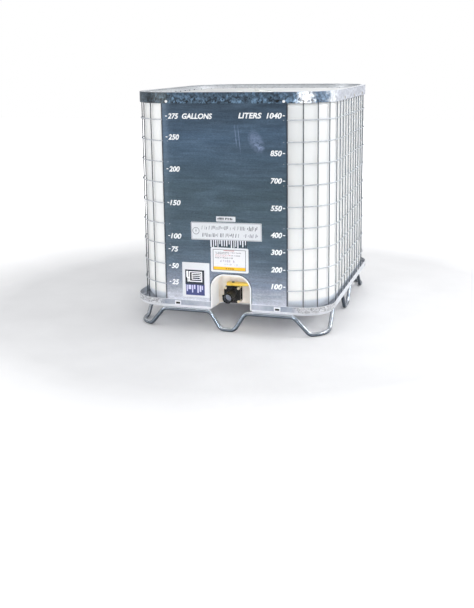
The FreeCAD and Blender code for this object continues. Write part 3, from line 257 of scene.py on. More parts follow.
# Rubbed ovals on the panel: middle x and z, half width, half height, edge, lean.
WORN_PATCH = (0.156, 0.938, 0.030, 0.044, 0.9, -0.3)
WORN_HEEL = (0.166, 0.916, 0.022, 0.016, 0.8, -0.8)
SCRATCHES = ((0.056, 0.962, 0.0022, 0.05, 0.5, -0.1), (0.073, 0.948, 0.0022, 0.058, 0.5, -0.1))


def rubbed_marks(shader):
    """Where the zinc is rubbed: one worn patch, two scratches and scattered specks."""
    broken = shader.span(shader.noise(52.0, 6.0, 0.75, warp=0.6), 0.38, 0.58)
    patch = shader.maths("MULTIPLY", spot(shader, *WORN_PATCH), broken)
    heel = shader.maths("MULTIPLY", spot(shader, *WORN_HEEL), broken)
    marks = shader.maths("MAXIMUM", shader.maths("MULTIPLY", patch, 0.6), heel)
    worn = shader.span(shader.noise(38.0, 4.0, 0.7), 0.35, 0.6, 0.1, 0.55)
    for scratch in SCRATCHES:
        line = spot(shader, *scratch)
        marks = shader.maths("MAXIMUM", marks, shader.maths("MULTIPLY", line, worn))
    specks = shader.span(shader.noise(130.0, 3.0, 0.85), 0.66, 0.74, 0.0, 0.7)
    return shader.maths("MAXIMUM", marks, specks)


def facing(shader, letter):
    """How far the surface faces along an axis, from -1 to 1."""
    return shader.axis(letter, shader.node("NewGeometry", out="Normal"))


def band_colour(shader):
    """Painted reflection by facing: slate in front, a painted flash of light on the right front
    corner and a pale right side.
    """
    turn = shader.span(facing(shader, "X"), -1.0, 1.0)
    drift = shader.span(shader.noise(34.0, 5.0, 0.7), 0.3, 0.7, -0.03, 0.03)
    turn = shader.maths("ADD", turn, drift)
    sheen = shader.ramp(turn, [
        (0.00, linear(100, 112, 122)), (0.25, linear(40, 53, 62)),
        (0.42, linear(50, 66, 76)), (0.52, linear(72, 93, 113)),
        (0.66, linear(81, 103, 124)), (0.705, linear(200, 209, 220)),
        (0.745, linear(252, 253, 254)), (0.80, linear(214, 221, 231)),
        (0.835, linear(96, 116, 138)), (0.92, linear(112, 132, 154)),
        (0.955, linear(236, 240, 245)), (1.00, linear(206, 210, 220))])
    # Painted reflection: faces turned to the back take a mid grey.
    back = shader.span(facing(shader, "Y"), 0.1, 0.7)
    sheen = shader.mix(back, sheen, linear(150, 160, 172))
    front = shader.span(facing(shader, "Y"), -0.95, -0.4, 1.0, 0.25)
    low = shader.span(shader.axis("Z"), *BAND_HEIGHTS, 1.0, 0.5)
    grains = shader.span(shader.axis("Z", shader.cells(105.0)), 0.0, 1.0, 0.12, 2.05)
    clusters = shader.span(shader.noise(60.0, 4.0, 0.7, warp=0.3), 0.38, 0.62, 0.45, 1.8)
    mottle = shader.maths("MULTIPLY", grains, clusters)
    shade = shader.node("CombineColor", _0=mottle, _1=mottle, _2=mottle)
    speckled = shader.mix(1.0, sheen, shade, "MULTIPLY")
    sheen = shader.mix(shader.maths("MULTIPLY", front, low), sheen, speckled)
    # Painted highlights: pale on faces that look inward and on faces that look up.
    top = shader.span(facing(shader, "Z"), 0.4, 0.8)
    sheen = shader.mix(inner_face(shader), sheen, linear(232, 235, 239))
    return shader.mix(top, sheen, linear(236, 239, 243))


def inner_face(shader):
    """1 on faces that look in towards the middle of the object, 0 on those that look out."""
    along_x = shader.maths("MULTIPLY", shader.axis("X"), facing(shader, "X"))
    along_y = shader.maths("MULTIPLY", shader.axis("Y"), facing(shader, "Y"))
    return shader.span(shader.maths("ADD", along_x, along_y), -0.1, -0.05, 1.0, 0.0)


def pan_colour(shader):
    """Pale zinc, cooler along the front wall, with painted light: paler right-facing faces, shade
    and highlight in the corner creases, highlights on lip and hem.
    """
    wall = shader.mix(shader.span(shader.noise(14.0, 4.0), 0.35, 0.65), linear(146, 155, 170),
                      linear(180, 185, 196))
    # Painted light: faces turned to the right are paler.
    side = shader.span(facing(shader, "X"), 0.25, 0.8)
    wall = shader.mix(side, wall, linear(222, 226, 232))
    fold = shader.span(folds(shader), 0.15, 0.75)
    corner = corner_mask(shader)
    # Painted shade in the creases' folds and painted highlight on their ridges.
    creased = shader.mix(fold, linear(76, 78, 84), linear(226, 227, 231))
    wall = shader.mix(shader.maths("MULTIPLY", corner, 0.9), wall, creased)
    # Painted highlights along the top of the wall and along the hem.
    edge = shader.span(shader.axis("Z"), *PAN_LIP)
    hem = shader.span(shader.axis("Z"), *PAN_HEM, 1.0, 0.0)
    return shader.mix(shader.maths("MAXIMUM", edge, hem), wall, linear(236, 238, 243))


def corner_mask(shader):
    """1 on the pan's four drawn corners, 0 on its straight walls."""
    across = shader.span(shader.maths("ABSOLUTE", shader.axis("X")), *PAN_CORNER_X)
    deep = shader.span(shader.maths("ABSOLUTE", shader.axis("Y")), *PAN_CORNER_Y)
    return shader.maths("MULTIPLY", across, deep)


def folds(shader):
    """Creases that the press leaves round a drawn corner."""
    bent = shader.noise(30.0, 3.0, 0.6, warp=1.0)
    wave = shader.maths("SINE", shader.maths("MULTIPLY", bent, 30.0))
    return shader.maths("ABSOLUTE", wave)


def pan_relief(shader, under):
    """The creases again, as relief."""
    height = shader.maths("MULTIPLY", folds(shader), corner_mask(shader))
    return shader.bump(height, 0.6, 0.004, under=under)


def plastic(name, colour, grain=400.0, rough=0.45, gloss_drift=0.08, strength=0.15, **extra):
    """Moulded plastic with a fine grain, slow gloss changes and a little rubbed colour."""
    shader = Shader(name, **extra)
    drift = shader.noise(18.0, 4.0)
    pale = tuple(min(1.0, channel * 1.12 + 0.006) for channel in colour[:3]) + (1.0,)
    dark = tuple(channel * 0.90 for channel in colour[:3]) + (1.0,)
    shader.set(Base_Color=shader.mix(shader.span(drift, 0.35, 0.65), dark, pale))
    shader.set(Roughness=shader.span(drift, 0.3, 0.7, rough - gloss_drift, rough + gloss_drift))
    shader.set(Normal=shader.bump(shader.noise(grain, 3.0), strength, 0.0004))
    return shader.material


def niche_mask(shader):
    """1 on the walls of the valve's niche in the bottle, 0 on the rest of the bottle."""
    front = shader.span(shader.axis("Y"), *BOTTLE_FRONT, 1.0, 0.0)
    low = shader.span(shader.axis("Z"), *NICHE_HEAD, 1.0, 0.0)
    inside = shader.maths("MULTIPLY", shader.maths("SUBTRACT", 1.0, front), low)
    across = shader.maths("ABSOLUTE", shader.maths("SUBTRACT", shader.axis("X"), ARCH_CENTRE))
    inside = shader.maths("MULTIPLY", inside, shader.span(across, *NICHE_SIDE, 1.0, 0.0))
    return shader.maths("MULTIPLY", inside, shader.span(shader.axis("Y"), *NICHE_BACK, 1.0, 0.0))


def bottle_material():
    """Natural polyethylene: milky, a little light passes, slow waves from blow moulding; painted
    shade at the foot and a painted glow, strongest in the niche.
    """
    shader = Shader("bottle_polyethylene", Subsurface_Weight=0.35, Subsurface_Scale=0.02,
                    Subsurface_Radius=(1.0, 0.9, 0.8), IOR=1.5)
    waves = shader.noise(3.5, 3.0)
    clouds = shader.noise(1.6, 2.0)
    milk = shader.mix(shader.span(clouds, 0.3, 0.7), linear(238, 240, 240), linear(248, 248, 245))
    # Painted shade: bluish towards the foot.
    foot = shader.span(shader.axis("Z"), *BOTTLE_FOOT, 0.55, 0.0)
    milk = shader.mix(foot, milk, linear(188, 203, 224))
    dirt = shader.span(shader.noise(22.0, 5.0, 0.6), 0.48, 0.70, 0.0, 0.5)
    cream = shader.mix(dirt, linear(234, 228, 220), linear(206, 186, 158))
    niche = niche_mask(shader)
    skin_colour = shader.mix(niche, milk, cream)
    # Painted glow: emission brightens the bottle a little and the niche's walls more.
    painted_glow = shader.span(niche, 0.0, 1.0, 0.05, 0.20)
    shader.set(Base_Color=skin_colour, Emission_Color=skin_colour, Emission_Strength=painted_glow)
    shader.set(Roughness=shader.span(clouds, 0.3, 0.7, 0.34, 0.46))
    skin = shader.bump(shader.noise(160.0, 3.0), 0.06, 0.0005)
    shader.set(Normal=shader.bump(waves, 0.35, 0.010, under=skin))
    return shader.material


def tube_colour(shader):
    """Painted light: a painted highlight along the top of the tube, painted shade underneath, with
    a cool painted reflection band between.
    """
    up = shader.span(facing(shader, "Z"), -1.0, 1.0)
    up = shader.maths("ADD", up, shader.span(shader.noise(40.0, 4.0), 0.3, 0.7, -0.05, 0.05))
    return shader.ramp(up, [
        (0.0, linear(44, 50, 58)), (0.35, linear(84, 94, 106)), (0.55, linear(152, 162, 174)),
        (0.70, linear(112, 124, 137)), (0.85, linear(232, 237, 242)), (1.0, linear(200, 207, 215))])


def wire_material(name, dark, light, side, rough, **extra):
    """Drawn wire, dull and bright by turns, with a paler tone of painted light along the right
    side.
    """
    shader = Shader(name, **extra)
    dull = shader.noise(60.0, 4.0)
    colour = shader.mix(shader.span(dull, 0.35, 0.65), dark, light)
    shader.set(Base_Color=shader.mix(shader.span(shader.axis("X"), *RIGHT_SIDE), colour, side))
    shader.set(Roughness=shader.span(dull, 0.3, 0.7, rough - 0.1, rough + 0.1))
    shader.set(Normal=shader.bump(shader.noise(700.0, 2.0), 0.10, 0.0003))
    return shader.material


def plated(name, colour, rough=0.3):
    """Thin bright plating on small hardware."""
    shader = Shader(name, Metallic=0.9)
    dull = shader.noise(300.0, 3.0)
    dark = tuple(channel * 0.8 for channel in colour[:3]) + (1.0,)
    shader.set(Base_Color=shader.mix(shader.span(dull, 0.35, 0.65), dark, colour))
    shader.set(Roughness=shader.span(dull, 0.3, 0.7, rough - 0.08, rough + 0.1))
    shader.set(Normal=shader.bump(shader.noise(1500.0, 2.0), 0.08, 0.0002))
    return shader.material


def paint(name, colour, rough=0.5, painted_glow=0.0):
    """Screen print and label stock: faint mottle in tone and gloss, with any painted glow as
    emission.
    """
    shader = Shader(name, Emission_Color=colour, Emission_Strength=painted_glow)
    mottle = shader.noise(240.0, 3.0)
    dark = tuple(channel * 0.93 for channel in colour[:3]) + (1.0,)
    shader.set(Base_Color=shader.mix(shader.span(mottle, 0.35, 0.65), dark, colour))
    shader.set(Roughness=shader.span(mottle, 0.3, 0.7, rough - 0.06, rough + 0.06))
    shader.set(Normal=shader.bump(mottle, 0.05, 0.0002))
    return shader.material


def rubber():
    """Matt black seal rubber with a little dust."""
    shader = Shader("black_rubber")
    dust = shader.noise(90.0, 4.0)
    shader.set(Base_Color=shader.mix(shader.span(dust, 0.4, 0.7), linear(24, 24, 25),
                                     linear(48, 48, 49)))
    shader.set(Roughness=shader.span(dust, 0.3, 0.7, 0.6, 0.8))
    shader.set(Normal=shader.bump(shader.noise(1200.0, 2.0), 0.1, 0.0002))
    return shader.material


MATERIALS = {
    "band": galvanised("galvanised_band", band_colour, 110.0, 0.34, metal=0.25),
    "panel": galvanised("galvanised_panel", panel_colour, 46.0, 0.06),
    "pan": galvanised("galvanised_pan", pan_colour, 60.0, 0.08, metal=0.3, relief=pan_relief),
    "beam": galvanised("galvanised_beam", linear(168, 174, 184), 60.0, 0.10, metal=0.5),
    "tube": galvanised("galvanised_tube", tube_colour, 90.0, 0.06, metal=0.8, rough=(0.14, 0.26)),
    "clip": galvanised("galvanised_clip", linear(236, 239, 243), 90.0, 0.04, metal=0.2),
    # One wire finish twice: the uprights darker as painted shade, the hoops paler as painted light.
    "upright": wire_material("wire_upright", linear(76, 80, 86), linear(104, 109, 115),
                             linear(116, 122, 129), 0.6, Metallic=0.1, Specular_IOR_Level=0.2),
    "hoop": wire_material("wire_hoop", linear(166, 171, 178), linear(200, 204, 211),
                          linear(196, 201, 208), 0.4, Metallic=0.2),
    # The rim's emission is a painted glow that brightens it.
    "rim": plastic("niche_rim_plastic", linear(246, 246, 246), rough=0.35,
                   Emission_Color=(1.0, 1.0, 1.0, 1.0), Emission_Strength=0.14),
    "bottle": bottle_material(),
    "lid": plastic("lid_plastic", linear(238, 239, 236), rough=0.4),
    "rubber": rubber(),
    "seat": plastic("disc_grey_plastic", linear(198, 200, 201), rough=0.35),
    "valve": plastic("valve_black_plastic", linear(14, 15, 16), rough=0.26, strength=0.2,
                     Specular_IOR_Level=0.35),
    "handle": plastic("handle_yellow_plastic", linear(251, 210, 84), rough=0.32),
    "plated": plated("zinc_plated", linear(214, 206, 184)),
    "bright": paint("zinc_bright", linear(244, 246, 248), rough=0.3),
    "brassy": plastic("passivated_bolt", linear(246, 228, 196), rough=0.3, Metallic=0.3),
    "dark_steel": plated("dark_screw", linear(64, 62, 60), rough=0.4),
    "plug": plastic("plug_plastic", linear(196, 206, 224), rough=0.4),
    "white": paint("label_white", linear(222, 225, 229)),
    "card": paint("label_card", linear(229, 230, 234)),
    # The white print has a painted glow.
    "mark": paint("screen_print_white", linear(244, 246, 248), painted_glow=0.12),
    "grey_ink": paint("ink_grey", linear(96, 102, 112)),
    "dark_ink": paint("ink_dark", linear(44, 52, 66)),
    "blue_ink": paint("ink_blue", linear(64, 72, 124)),
    "red_ink": paint("ink_red", linear(188, 84, 80)),
    "yellow_ink": paint("ink_yellow", linear(246, 192, 30)),
    "pale_ink": paint("ink_pale", linear(140, 144, 155)),
    "border_ink": paint("ink_border", linear(150, 156, 166)),
    "faded_ink": paint("ink_faded", linear(66, 70, 84)),
    "violet_ink": paint("ink_violet", linear(148, 140, 176)),
    "brown_ink": paint("ink_brown", linear(142, 96, 20)),
    "slate_ink": paint("ink_slate", linear(34, 43, 56)),
    "strip_ink": paint("ink_strip", linear(232, 237, 243)),
    "pale_blue_ink": paint("ink_pale_blue", linear(206, 208, 236)),
}

NODE_FINISH = {
    "front_foot_tube": "tube", "rear_foot_tube": "tube", "centre_foot": "tube",
    "left_cross_beam": "beam", "right_cross_beam": "beam", "base_pan": "pan",
    "pan_clips": "clip", "niche_rim": "rim", "vertical_wires": "upright",
    "horizontal_wires": "hoop",
    "front_panel": "panel", "top_band": "band", "panel_screws": "bright",
    "band_rivets": "plated", "bottle": "bottle", "fill_lid": "lid", "vent_plug": "lid",
    "lid_gasket": "rubber", "vent_gasket": "rubber", "inlet_gasket": "rubber",
    "plug_gasket": "rubber", "stem_o_rings": "rubber", "valve_inlet_end": "valve",
    "valve_body": "valve", "valve_outlet_end": "valve", "valve_disc": "seat",
    "disc_seat": "rubber", "disc_pin": "plated", "valve_stem": "plated",
    "valve_handle": "handle",
    "handle_screw": "dark_steel", "valve_bolts": "brassy", "valve_nuts": "plated",
    "dust_plug": "plug", "rating_plate": "white", "name_tag": "white",
    "placard_frame": "white", "placard_card": "card", "inspection_label": "white",
}


def dress_frame():
    """Gives every CAD piece the material of its kind."""
    for name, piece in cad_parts.items():
        material = MATERIALS[NODE_FINISH[name]]
        for slot in piece.material_slots:
            slot.material = material


# ---- printed marks -----------------------------------------------------------------------------

PRINT_GAP = 0.15 * MM       # how far a print stands off its sheet
PRINT_DEPTH = 0.2 * MM
CAP_HEIGHT = 27 * MM
SLANT = 0.22                # lean of the numerals
BOLDNESS = 0.034            # how far their outline is pushed out, in parts of the font size
CURVE_STEPS = 4
BEND_START, BEND_RADIUS = 259 * MM, 247.4 * MM   # where and how the panel's edges bow back


def add_piece(name, mesh, material):
    """Adds a mesh to the scene as a piece of the tank's body."""
    piece = bpy.data.objects.new(name, mesh)
    bpy.context.scene.collection.objects.link(piece)
    mesh.materials.clear()
    mesh.materials.append(MATERIALS[material])
    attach(piece, "tank")
    return piece


def text_mesh(words, cap_height, width):
    """Slanted block lettering as a mesh in the XZ plane: foot on z = 0, left edge on x = 0."""
    curve = bpy.data.curves.new("lettering", "FONT")
    curve.body = words
    curve.size = 1.0
    curve.shear = SLANT
    curve.offset = BOLDNESS
    curve.resolution_u = CURVE_STEPS
    holder = bpy.data.objects.new("lettering", curve)
    bpy.context.scene.collection.objects.link(holder)
    bpy.context.view_layer.update()
    mesh = bpy.data.meshes.new_from_object(holder)
    bpy.data.objects.remove(holder)
    xs = [vertex.co.x for vertex in mesh.vertices]
    ys = [vertex.co.y for vertex in mesh.vertices]
    left, foot = min(xs), min(ys)
    across, up = width / (max(xs) - left), cap_height / (max(ys) - foot)
    for vertex in mesh.vertices:
        x, y, _ = vertex.co
        vertex.co = ((x - left) * across, 0.0, (y - foot) * up)
    return mesh


def thicken(mesh, depth):
    """Gives a flat print a little thickness, towards the front."""
    form = bmesh.new()
    form.from_mesh(mesh)
    bmesh.ops.remove_doubles(form, verts=form.verts, dist=1e-6)
    faces = form.faces[:]
    grown = bmesh.ops.extrude_face_region(form, geom=faces)
    moved = [item for item in grown["geom"] if isinstance(item, bmesh.types.BMVert)]
    bmesh.ops.translate(form, verts=moved, vec=(0.0, -depth, 0.0))
    bmesh.ops.recalc_face_normals(form, faces=form.faces)
    form.to_mesh(mesh)
    form.free()


def wrap(mesh):
    """Bends a flat print round the panel's bowed side edges."""
    for vertex in mesh.vertices:
        past = max(0.0, abs(vertex.co.x) - BEND_START)
        vertex.co.y += BEND_RADIUS - math.sqrt(BEND_RADIUS ** 2 - past ** 2)


def turn_about(mesh, tilt, centre):
    """Turns a print in the panel's plane about a point (x, z)."""
    pivot = Vector((centre[0], 0.0, centre[1]))
    spin = Matrix.Rotation(math.radians(-tilt), 4, "Y")
    mesh.transform(Matrix.Translation(pivot) @ spin @ Matrix.Translation(-pivot))


def patches(name, shapes, sheet, material, slot="label_white", lift=1, tilt=0.0,
            centre=(0.0, 0.0)):
    """Prints flat shapes, each a list of (x, z) in millimetres, on the front of a sheet."""
    form = bmesh.new()
    face = sheet - lift * (PRINT_GAP + PRINT_DEPTH) + PRINT_DEPTH
    for shape in shapes:
        form.faces.new([form.verts.new((x * MM, face, z * MM)) for x, z in shape])
    mesh = bpy.data.meshes.new(name)
    form.to_mesh(mesh)
    form.free()
    thicken(mesh, PRINT_DEPTH)
    turn_about(mesh, tilt, (centre[0] * MM, centre[1] * MM))
    wrap(mesh)
    return add_piece(name, mesh, material)


def block(left, right, low, high, lean=0.0):
    """The corners of a bar, its head pushed right by a lean."""
    shift = lean * (high - low)
    return [(left, low), (right, low), (right + shift, high), (left + shift, high)]


def outline(left, right, low, high, width):
    """Four bars that frame a rectangle."""
    return [block(left, right, low, low + width), block(left, right, high - width, high),
            block(left, left + width, low + width, high - width),
            block(right - width, right, low + width, high - width)]


def ring_of(x, z, radius, width, steps=36):
    """Short bars that make up a circle."""
    shapes = []
    for index in range(steps):
        corners = []
        for turn, reach in ((index, radius), (index + 1, radius), (index + 1, radius - width),
                            (index, radius - width)):
            angle = 2 * math.pi * turn / steps
            corners.append((x + reach * math.cos(angle), z + reach * math.sin(angle)))
        shapes.append(corners)
    return shapes


STROKE_TOPS = (0.75, 0.7)     # share of full-height strokes, and how high the others reach
STROKE_FEET = (0.8, 0.3)      # share that stand on the line, and where the others start


def strokes(left, right, low, high, pitch, seed, lean=0.15, gaps=0.16, fill=(0.25, 0.6)):
    """A row of upright dashes of uneven width and height, in place of a line of writing."""
    chance = random.Random(seed)
    shapes = []
    x = left
    while x < right - pitch:
        width = pitch * chance.uniform(*fill)
        if chance.random() > gaps:
            full, part = STROKE_TOPS
            top = high if chance.random() < full else low + part * (high - low)
            full, part = STROKE_FEET
            foot = low if chance.random() < full else low + part * (high - low)
            shapes.append(block(x, x + width, foot, top, lean))
        x += pitch
    return shapes


def rows_of(rows):
    """Several rows of dashes as one list of shapes."""
    return [dash for row in rows for dash in strokes(*row)]


# Level marks: the words, then the foot and the width of the lettering in millimetres.
LEFT_MARKS = (("275  GALLONS", 1041, 225), ("250", 941, 56), ("200", 787, 56), ("150", 622, 56),
              ("100", 457, 56), ("75", 391, 38), ("50", 307, 38), ("25", 225, 38))
RIGHT_MARKS = (("LITERS  1040", 1045, 210), ("850", 871, 56), ("700", 742, 56), ("550", 612, 56),
               ("400", 483, 56), ("300", 400, 56), ("200", 315, 56), ("100", 232, 56))
TICK = (10 * MM, 4 * MM)
TICK_GAP = 4 * MM
SCALE_LEFT, SCALE_RIGHT = -297 * MM, 294 * MM


def level_scale():
    """The level marks down both edges of the panel: gallons on the left, litres on the right."""
    ticks = []
    for marks, side in ((LEFT_MARKS, "left"), (RIGHT_MARKS, "right")):
        for words, foot, width in marks:
            low = foot * MM
            middle = low + CAP_HEIGHT / 2
            if side == "left":
                tick_left = SCALE_LEFT
                text_left = SCALE_LEFT + TICK[0] + TICK_GAP
            else:
                tick_left = SCALE_RIGHT - TICK[0]
                text_left = SCALE_RIGHT - TICK[0] - TICK_GAP - width * MM
            ticks.append(block(tick_left / MM, (tick_left + TICK[0]) / MM,
                               (middle - TICK[1] / 2) / MM, (middle + TICK[1] / 2) / MM))
            mesh = text_mesh(words, CAP_HEIGHT, width * MM)
            mesh.transform(Matrix.Translation((text_left, PANEL_FACE - PRINT_GAP, low)))
            thicken(mesh, PRINT_DEPTH)
            wrap(mesh)
            name = f"level_{side}_{words.split()[0].lower()}_{foot}"
            add_piece(name, mesh, "mark")
    patches("level_ticks", ticks, PANEL_FACE, "mark")


# From here on, the places of the prints are in millimetres on the panel: x, then height.
# A row of dashes is its left, right, foot, head, pitch and seed, then any lean and share of gaps.
PLATE_TILT = 0.8
PLATE_CENTRE = (2.0, 503.5)
PLATE_EDGE = (-174, 178, 462, 545, 2.2)
PLATE_PALE_ROWS = ((-122, 104, 511, 530, 7.2, 3), (76, 166, 476, 494, 7.2, 4))
PLATE_DARK_ROWS = ((108, 168, 509, 531, 7.6, 5, 0.15, 0.05), (-120, 70, 475, 494, 7.0, 6))
SYMBOL_CENTRE = (-151, 503.5)
SYMBOL_RING = (17.5, 2.2)            # radius, width
SYMBOL_DOT = (4, 1.6, 12)            # radius, width, number of bars
SYMBOL_HAND = (-152, -150, 508, 514)


def long_plate_print():
    """A ring symbol, two rows of dashes and a thin border on the long plate."""
    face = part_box("rating_plate")[0].y
    place = dict(tilt=PLATE_TILT, centre=PLATE_CENTRE)
    symbol = ring_of(*SYMBOL_CENTRE, *SYMBOL_RING) + ring_of(*SYMBOL_CENTRE, *SYMBOL_DOT)
    symbol.append(block(*SYMBOL_HAND))
    patches("plate_symbol", symbol, face, "grey_ink", **place)
    patches("plate_rows_pale", rows_of(PLATE_PALE_ROWS), face, "pale_ink", **place)
    patches("plate_rows_dark", rows_of(PLATE_DARK_ROWS), face, "grey_ink", **place)
    patches("plate_border", outline(*PLATE_EDGE), face, "border_ink", **place)


TAG_ROW = (-40, 42, 561, 571, 6.4, 11, 0.0, 0.05, (0.6, 0.88))
TAG_LINE = (-40, 42, 556, 557.2)


def small_tag_print():
    """One dark row of dashes over a thin line."""
    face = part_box("name_tag")[0].y
    patches("tag_row", rows_of([TAG_ROW]), face, "dark_ink")
    patches("tag_line", [block(*TAG_LINE)], face, "pale_ink")


STRIP_LEFT, STRIP_RIGHT, STRIP_FOOT, STRIP_HEAD = -78.0, 104, 425, 461
STRIP_BAR = (7, 13)                  # least and greatest width of a pair of bars
STRIP_GAP = (0.5, 2)
STRIP_STEPS = (0, 0, 6, 16)          # how far above the foot a light bar may end
STRIP_SEED = 2


def pressed_strip():
    """A strip of plain bars between the long plate and the placard."""
    light, dark = [], []
    chance = random.Random(STRIP_SEED)
    x = STRIP_LEFT
    while x < STRIP_RIGHT:
        width = chance.uniform(*STRIP_BAR)
        foot = STRIP_FOOT + chance.choice(STRIP_STEPS)
        light.append(block(x, x + width * 0.5, foot, STRIP_HEAD))
        dark.append(block(x + width * 0.5, x + width, STRIP_FOOT, STRIP_HEAD))
        x += width + chance.uniform(*STRIP_GAP)
    patches("strip_dark", dark, PANEL_FACE, "slate_ink")
    patches("strip_light", light, PANEL_FACE, "strip_ink")


PLACARD_STRIPE = (-64, 98, 314, 329)
PLACARD_DASHES = [(x, x + 7, 318.5, 323) for x in (-2, 9, 18, 27, 34)]
PLACARD_EDGE = (-66, 100, 312, 415, 2.4)
PLACARD_HEADING = (-12, 42, 408.5, 411)
PLACARD_DARK_ROWS = ((-54, 84, 398, 403, 3.6, 21, 0.0), (-54, 20, 392, 396, 3.6, 22, 0.0),
                     (28, 78, 384, 389, 3.6, 23, 0.0), (-54, 38, 370, 377, 3.6, 24, 0.0))
PLACARD_RED_ROWS = ((-54, 26, 384, 389, 3.6, 25, 0.0), (-54, 20, 379, 381, 3.6, 26, 0.0))
PLACARD_VIOLET_ROWS = ((-28, 46, 352, 364, 4.6, 27, 0.0, 0.3), (-26, 60, 338, 345, 5, 28, 0.0, 0.5))


def placard_print():
    """Rows of dashes in three inks over a yellow stripe, inside a thin frame."""
    stripe = [block(*PLACARD_STRIPE)]
    dashes = [block(*dash) for dash in PLACARD_DASHES]
    prints = (
        ("placard_stripe", stripe, "yellow_ink", 1),
        ("placard_stripe_dashes", dashes, "brown_ink", 2),
        ("placard_frame_line", outline(*PLACARD_EDGE), "grey_ink", 1),
        ("placard_heading", [block(*PLACARD_HEADING)], "red_ink", 1),
        ("placard_rows", rows_of(PLACARD_DARK_ROWS), "faded_ink", 1),
        ("placard_rows_red", rows_of(PLACARD_RED_ROWS), "red_ink", 1),
        ("placard_rows_violet", rows_of(PLACARD_VIOLET_ROWS), "violet_ink", 1))
    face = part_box("placard_card")[0].y
    for name, shapes, ink, lift in prints:
        patches(name, shapes, face, ink, "label_card", lift=lift)


LABEL_FIELD = (-212, -113, 232, 305)
LABEL_FIELD_LOW = (-210, -112, 177, 232)
LABEL_OUTLINES = ((-192, -124, 245, 297, 4.5), (-178, -132, 256, 288, 3.5))
LABEL_SIGNS = ((-206, -196, 268, 298), (-203, -188, 262, 268), (-200, -195, 244, 262),
               (-174, -136, 276, 279), (-174, -136, 267, 270))
LABEL_BARS = ((-206, -200, 196, 228), (-196, -182, 206, 228), (-178, -172, 190, 228),
              (-168, -160, 208, 229), (-150, -143, 190, 229), (-138, -130, 196, 228),
              (-127, -121, 206, 226))


def square_label_print():
    """A dark pictogram field: a plain outlined box above, upright bars below."""
    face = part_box("inspection_label")[0].y
    patches("label_field", [block(*LABEL_FIELD)], face, "slate_ink")
    patches("label_field_low", [block(*LABEL_FIELD_LOW)], face, "blue_ink")
    white = [bar for box in LABEL_OUTLINES for bar in outline(*box)]
    white += [block(*sign) for sign in LABEL_SIGNS]
    patches("label_field_white", white, face, "mark", lift=2)
    bars = [block(*bar) for bar in LABEL_BARS]
    patches("label_field_bars", bars, face, "pale_blue_ink", lift=2)


CLIP_CENTRES = (-252.5, 254.5)
CLIP_SLOT_HALF, CLIP_SLOT_FOOT, CLIP_SLOT_HEAD = 11, 128, 138


def clip_slot_shadows():
    """Painted shadow: a dark patch in the mouth of each strap slot, on the pan's wall behind the
    front clips.
    """
    shapes = [block(x - CLIP_SLOT_HALF, x + CLIP_SLOT_HALF, CLIP_SLOT_FOOT, CLIP_SLOT_HEAD)
              for x in CLIP_CENTRES]
    patches("clip_slot_painted_shadows", shapes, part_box("base_pan")[0].y, "dark_steel", "screw_dark")


OUTLET_HEIGHT, OUTLET_RADIUS = 167 * MM, 26 * MM
LUG_ANGLES = (155, -25)
LUG_SIZE = (5 * MM, 9 * MM, 9 * MM)      # out from the spigot, along it, round it
LUG_STAND = 0.4                          # share of a lug's height by which its middle stands off
LUG_SETBACK = MM
LUG_BEVEL = 1.2 * MM


def rounded_blocks(name, places, size, bevel, material):
    """Boxes of one size with softened edges, each at a matrix of its own."""
    form = bmesh.new()
    for place in places:
        made = bmesh.ops.create_cube(form, size=1.0)
        bmesh.ops.scale(form, verts=made["verts"], vec=size)
        edges = {edge for vertex in made["verts"] for edge in vertex.link_edges}
        soft = bmesh.ops.bevel(form, geom=list(edges), offset=bevel, segments=3, profile=0.5,
                               affect="EDGES")
        corners = {vertex for face in soft["faces"] for vertex in face.verts}
        bmesh.ops.transform(form, matrix=place, verts=list(corners))
    mesh = bpy.data.meshes.new(name)
    form.to_mesh(mesh)
    form.free()
    return add_piece(name, mesh, material)


def outlet_lugs():
    """Two small ears on the outlet's mouth, for the cap's lanyard."""
    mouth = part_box("valve_outlet_end")[0].y
    places = []
    for angle in LUG_ANGLES:
        turn = Matrix.Rotation(math.radians(-angle), 4, "Y")
        out = Matrix.Translation((OUTLET_RADIUS + LUG_SIZE[0] * LUG_STAND, 0.0, 0.0))
        seat = Matrix.Translation((0.0, mouth + LUG_SIZE[1] / 2 + LUG_SETBACK, OUTLET_HEIGHT))
        places.append(seat @ turn @ out)
    rounded_blocks("outlet_lugs", places, LUG_SIZE, LUG_BEVEL, "valve")


FLOOR_REACH = 14.0
FLOOR_FADE = (1.4, 3.4)     # distance from the object over which the floor turns to white


def stage():
    """A pale floor that fades into the white behind it, so that no horizon shows."""
    floor = bpy.data.meshes.new("floor")
    corners = [(x * FLOOR_REACH, y * FLOOR_REACH, 0)
               for x, y in ((-1, -1), (1, -1), (1, 1), (-1, 1))]
    floor.from_pydata(corners, [], [(0, 1, 2, 3)])
    item = bpy.data.objects.new("floor", floor)
    bpy.context.scene.collection.objects.link(item)
    shader = Shader("floor_pale", Roughness=0.7)
    tone = shader.noise(3.0, 4.0)
    shader.set(Base_Color=shader.mix(shader.span(tone, 0.3, 0.7), linear(240, 240, 241),
                                     linear(246, 246, 247)))
    away = shader.node("VectorMath", out="Value", props={"operation": "LENGTH"}, _0=shader.place)
    seen = shader.node("LightPath")
    fade = shader.maths("MULTIPLY", shader.span(away, *FLOOR_FADE), seen)
    shader.set(Emission_Color=(1.0, 1.0, 1.0, 1.0), Emission_Strength=fade)
    floor.materials.append(shader.material)


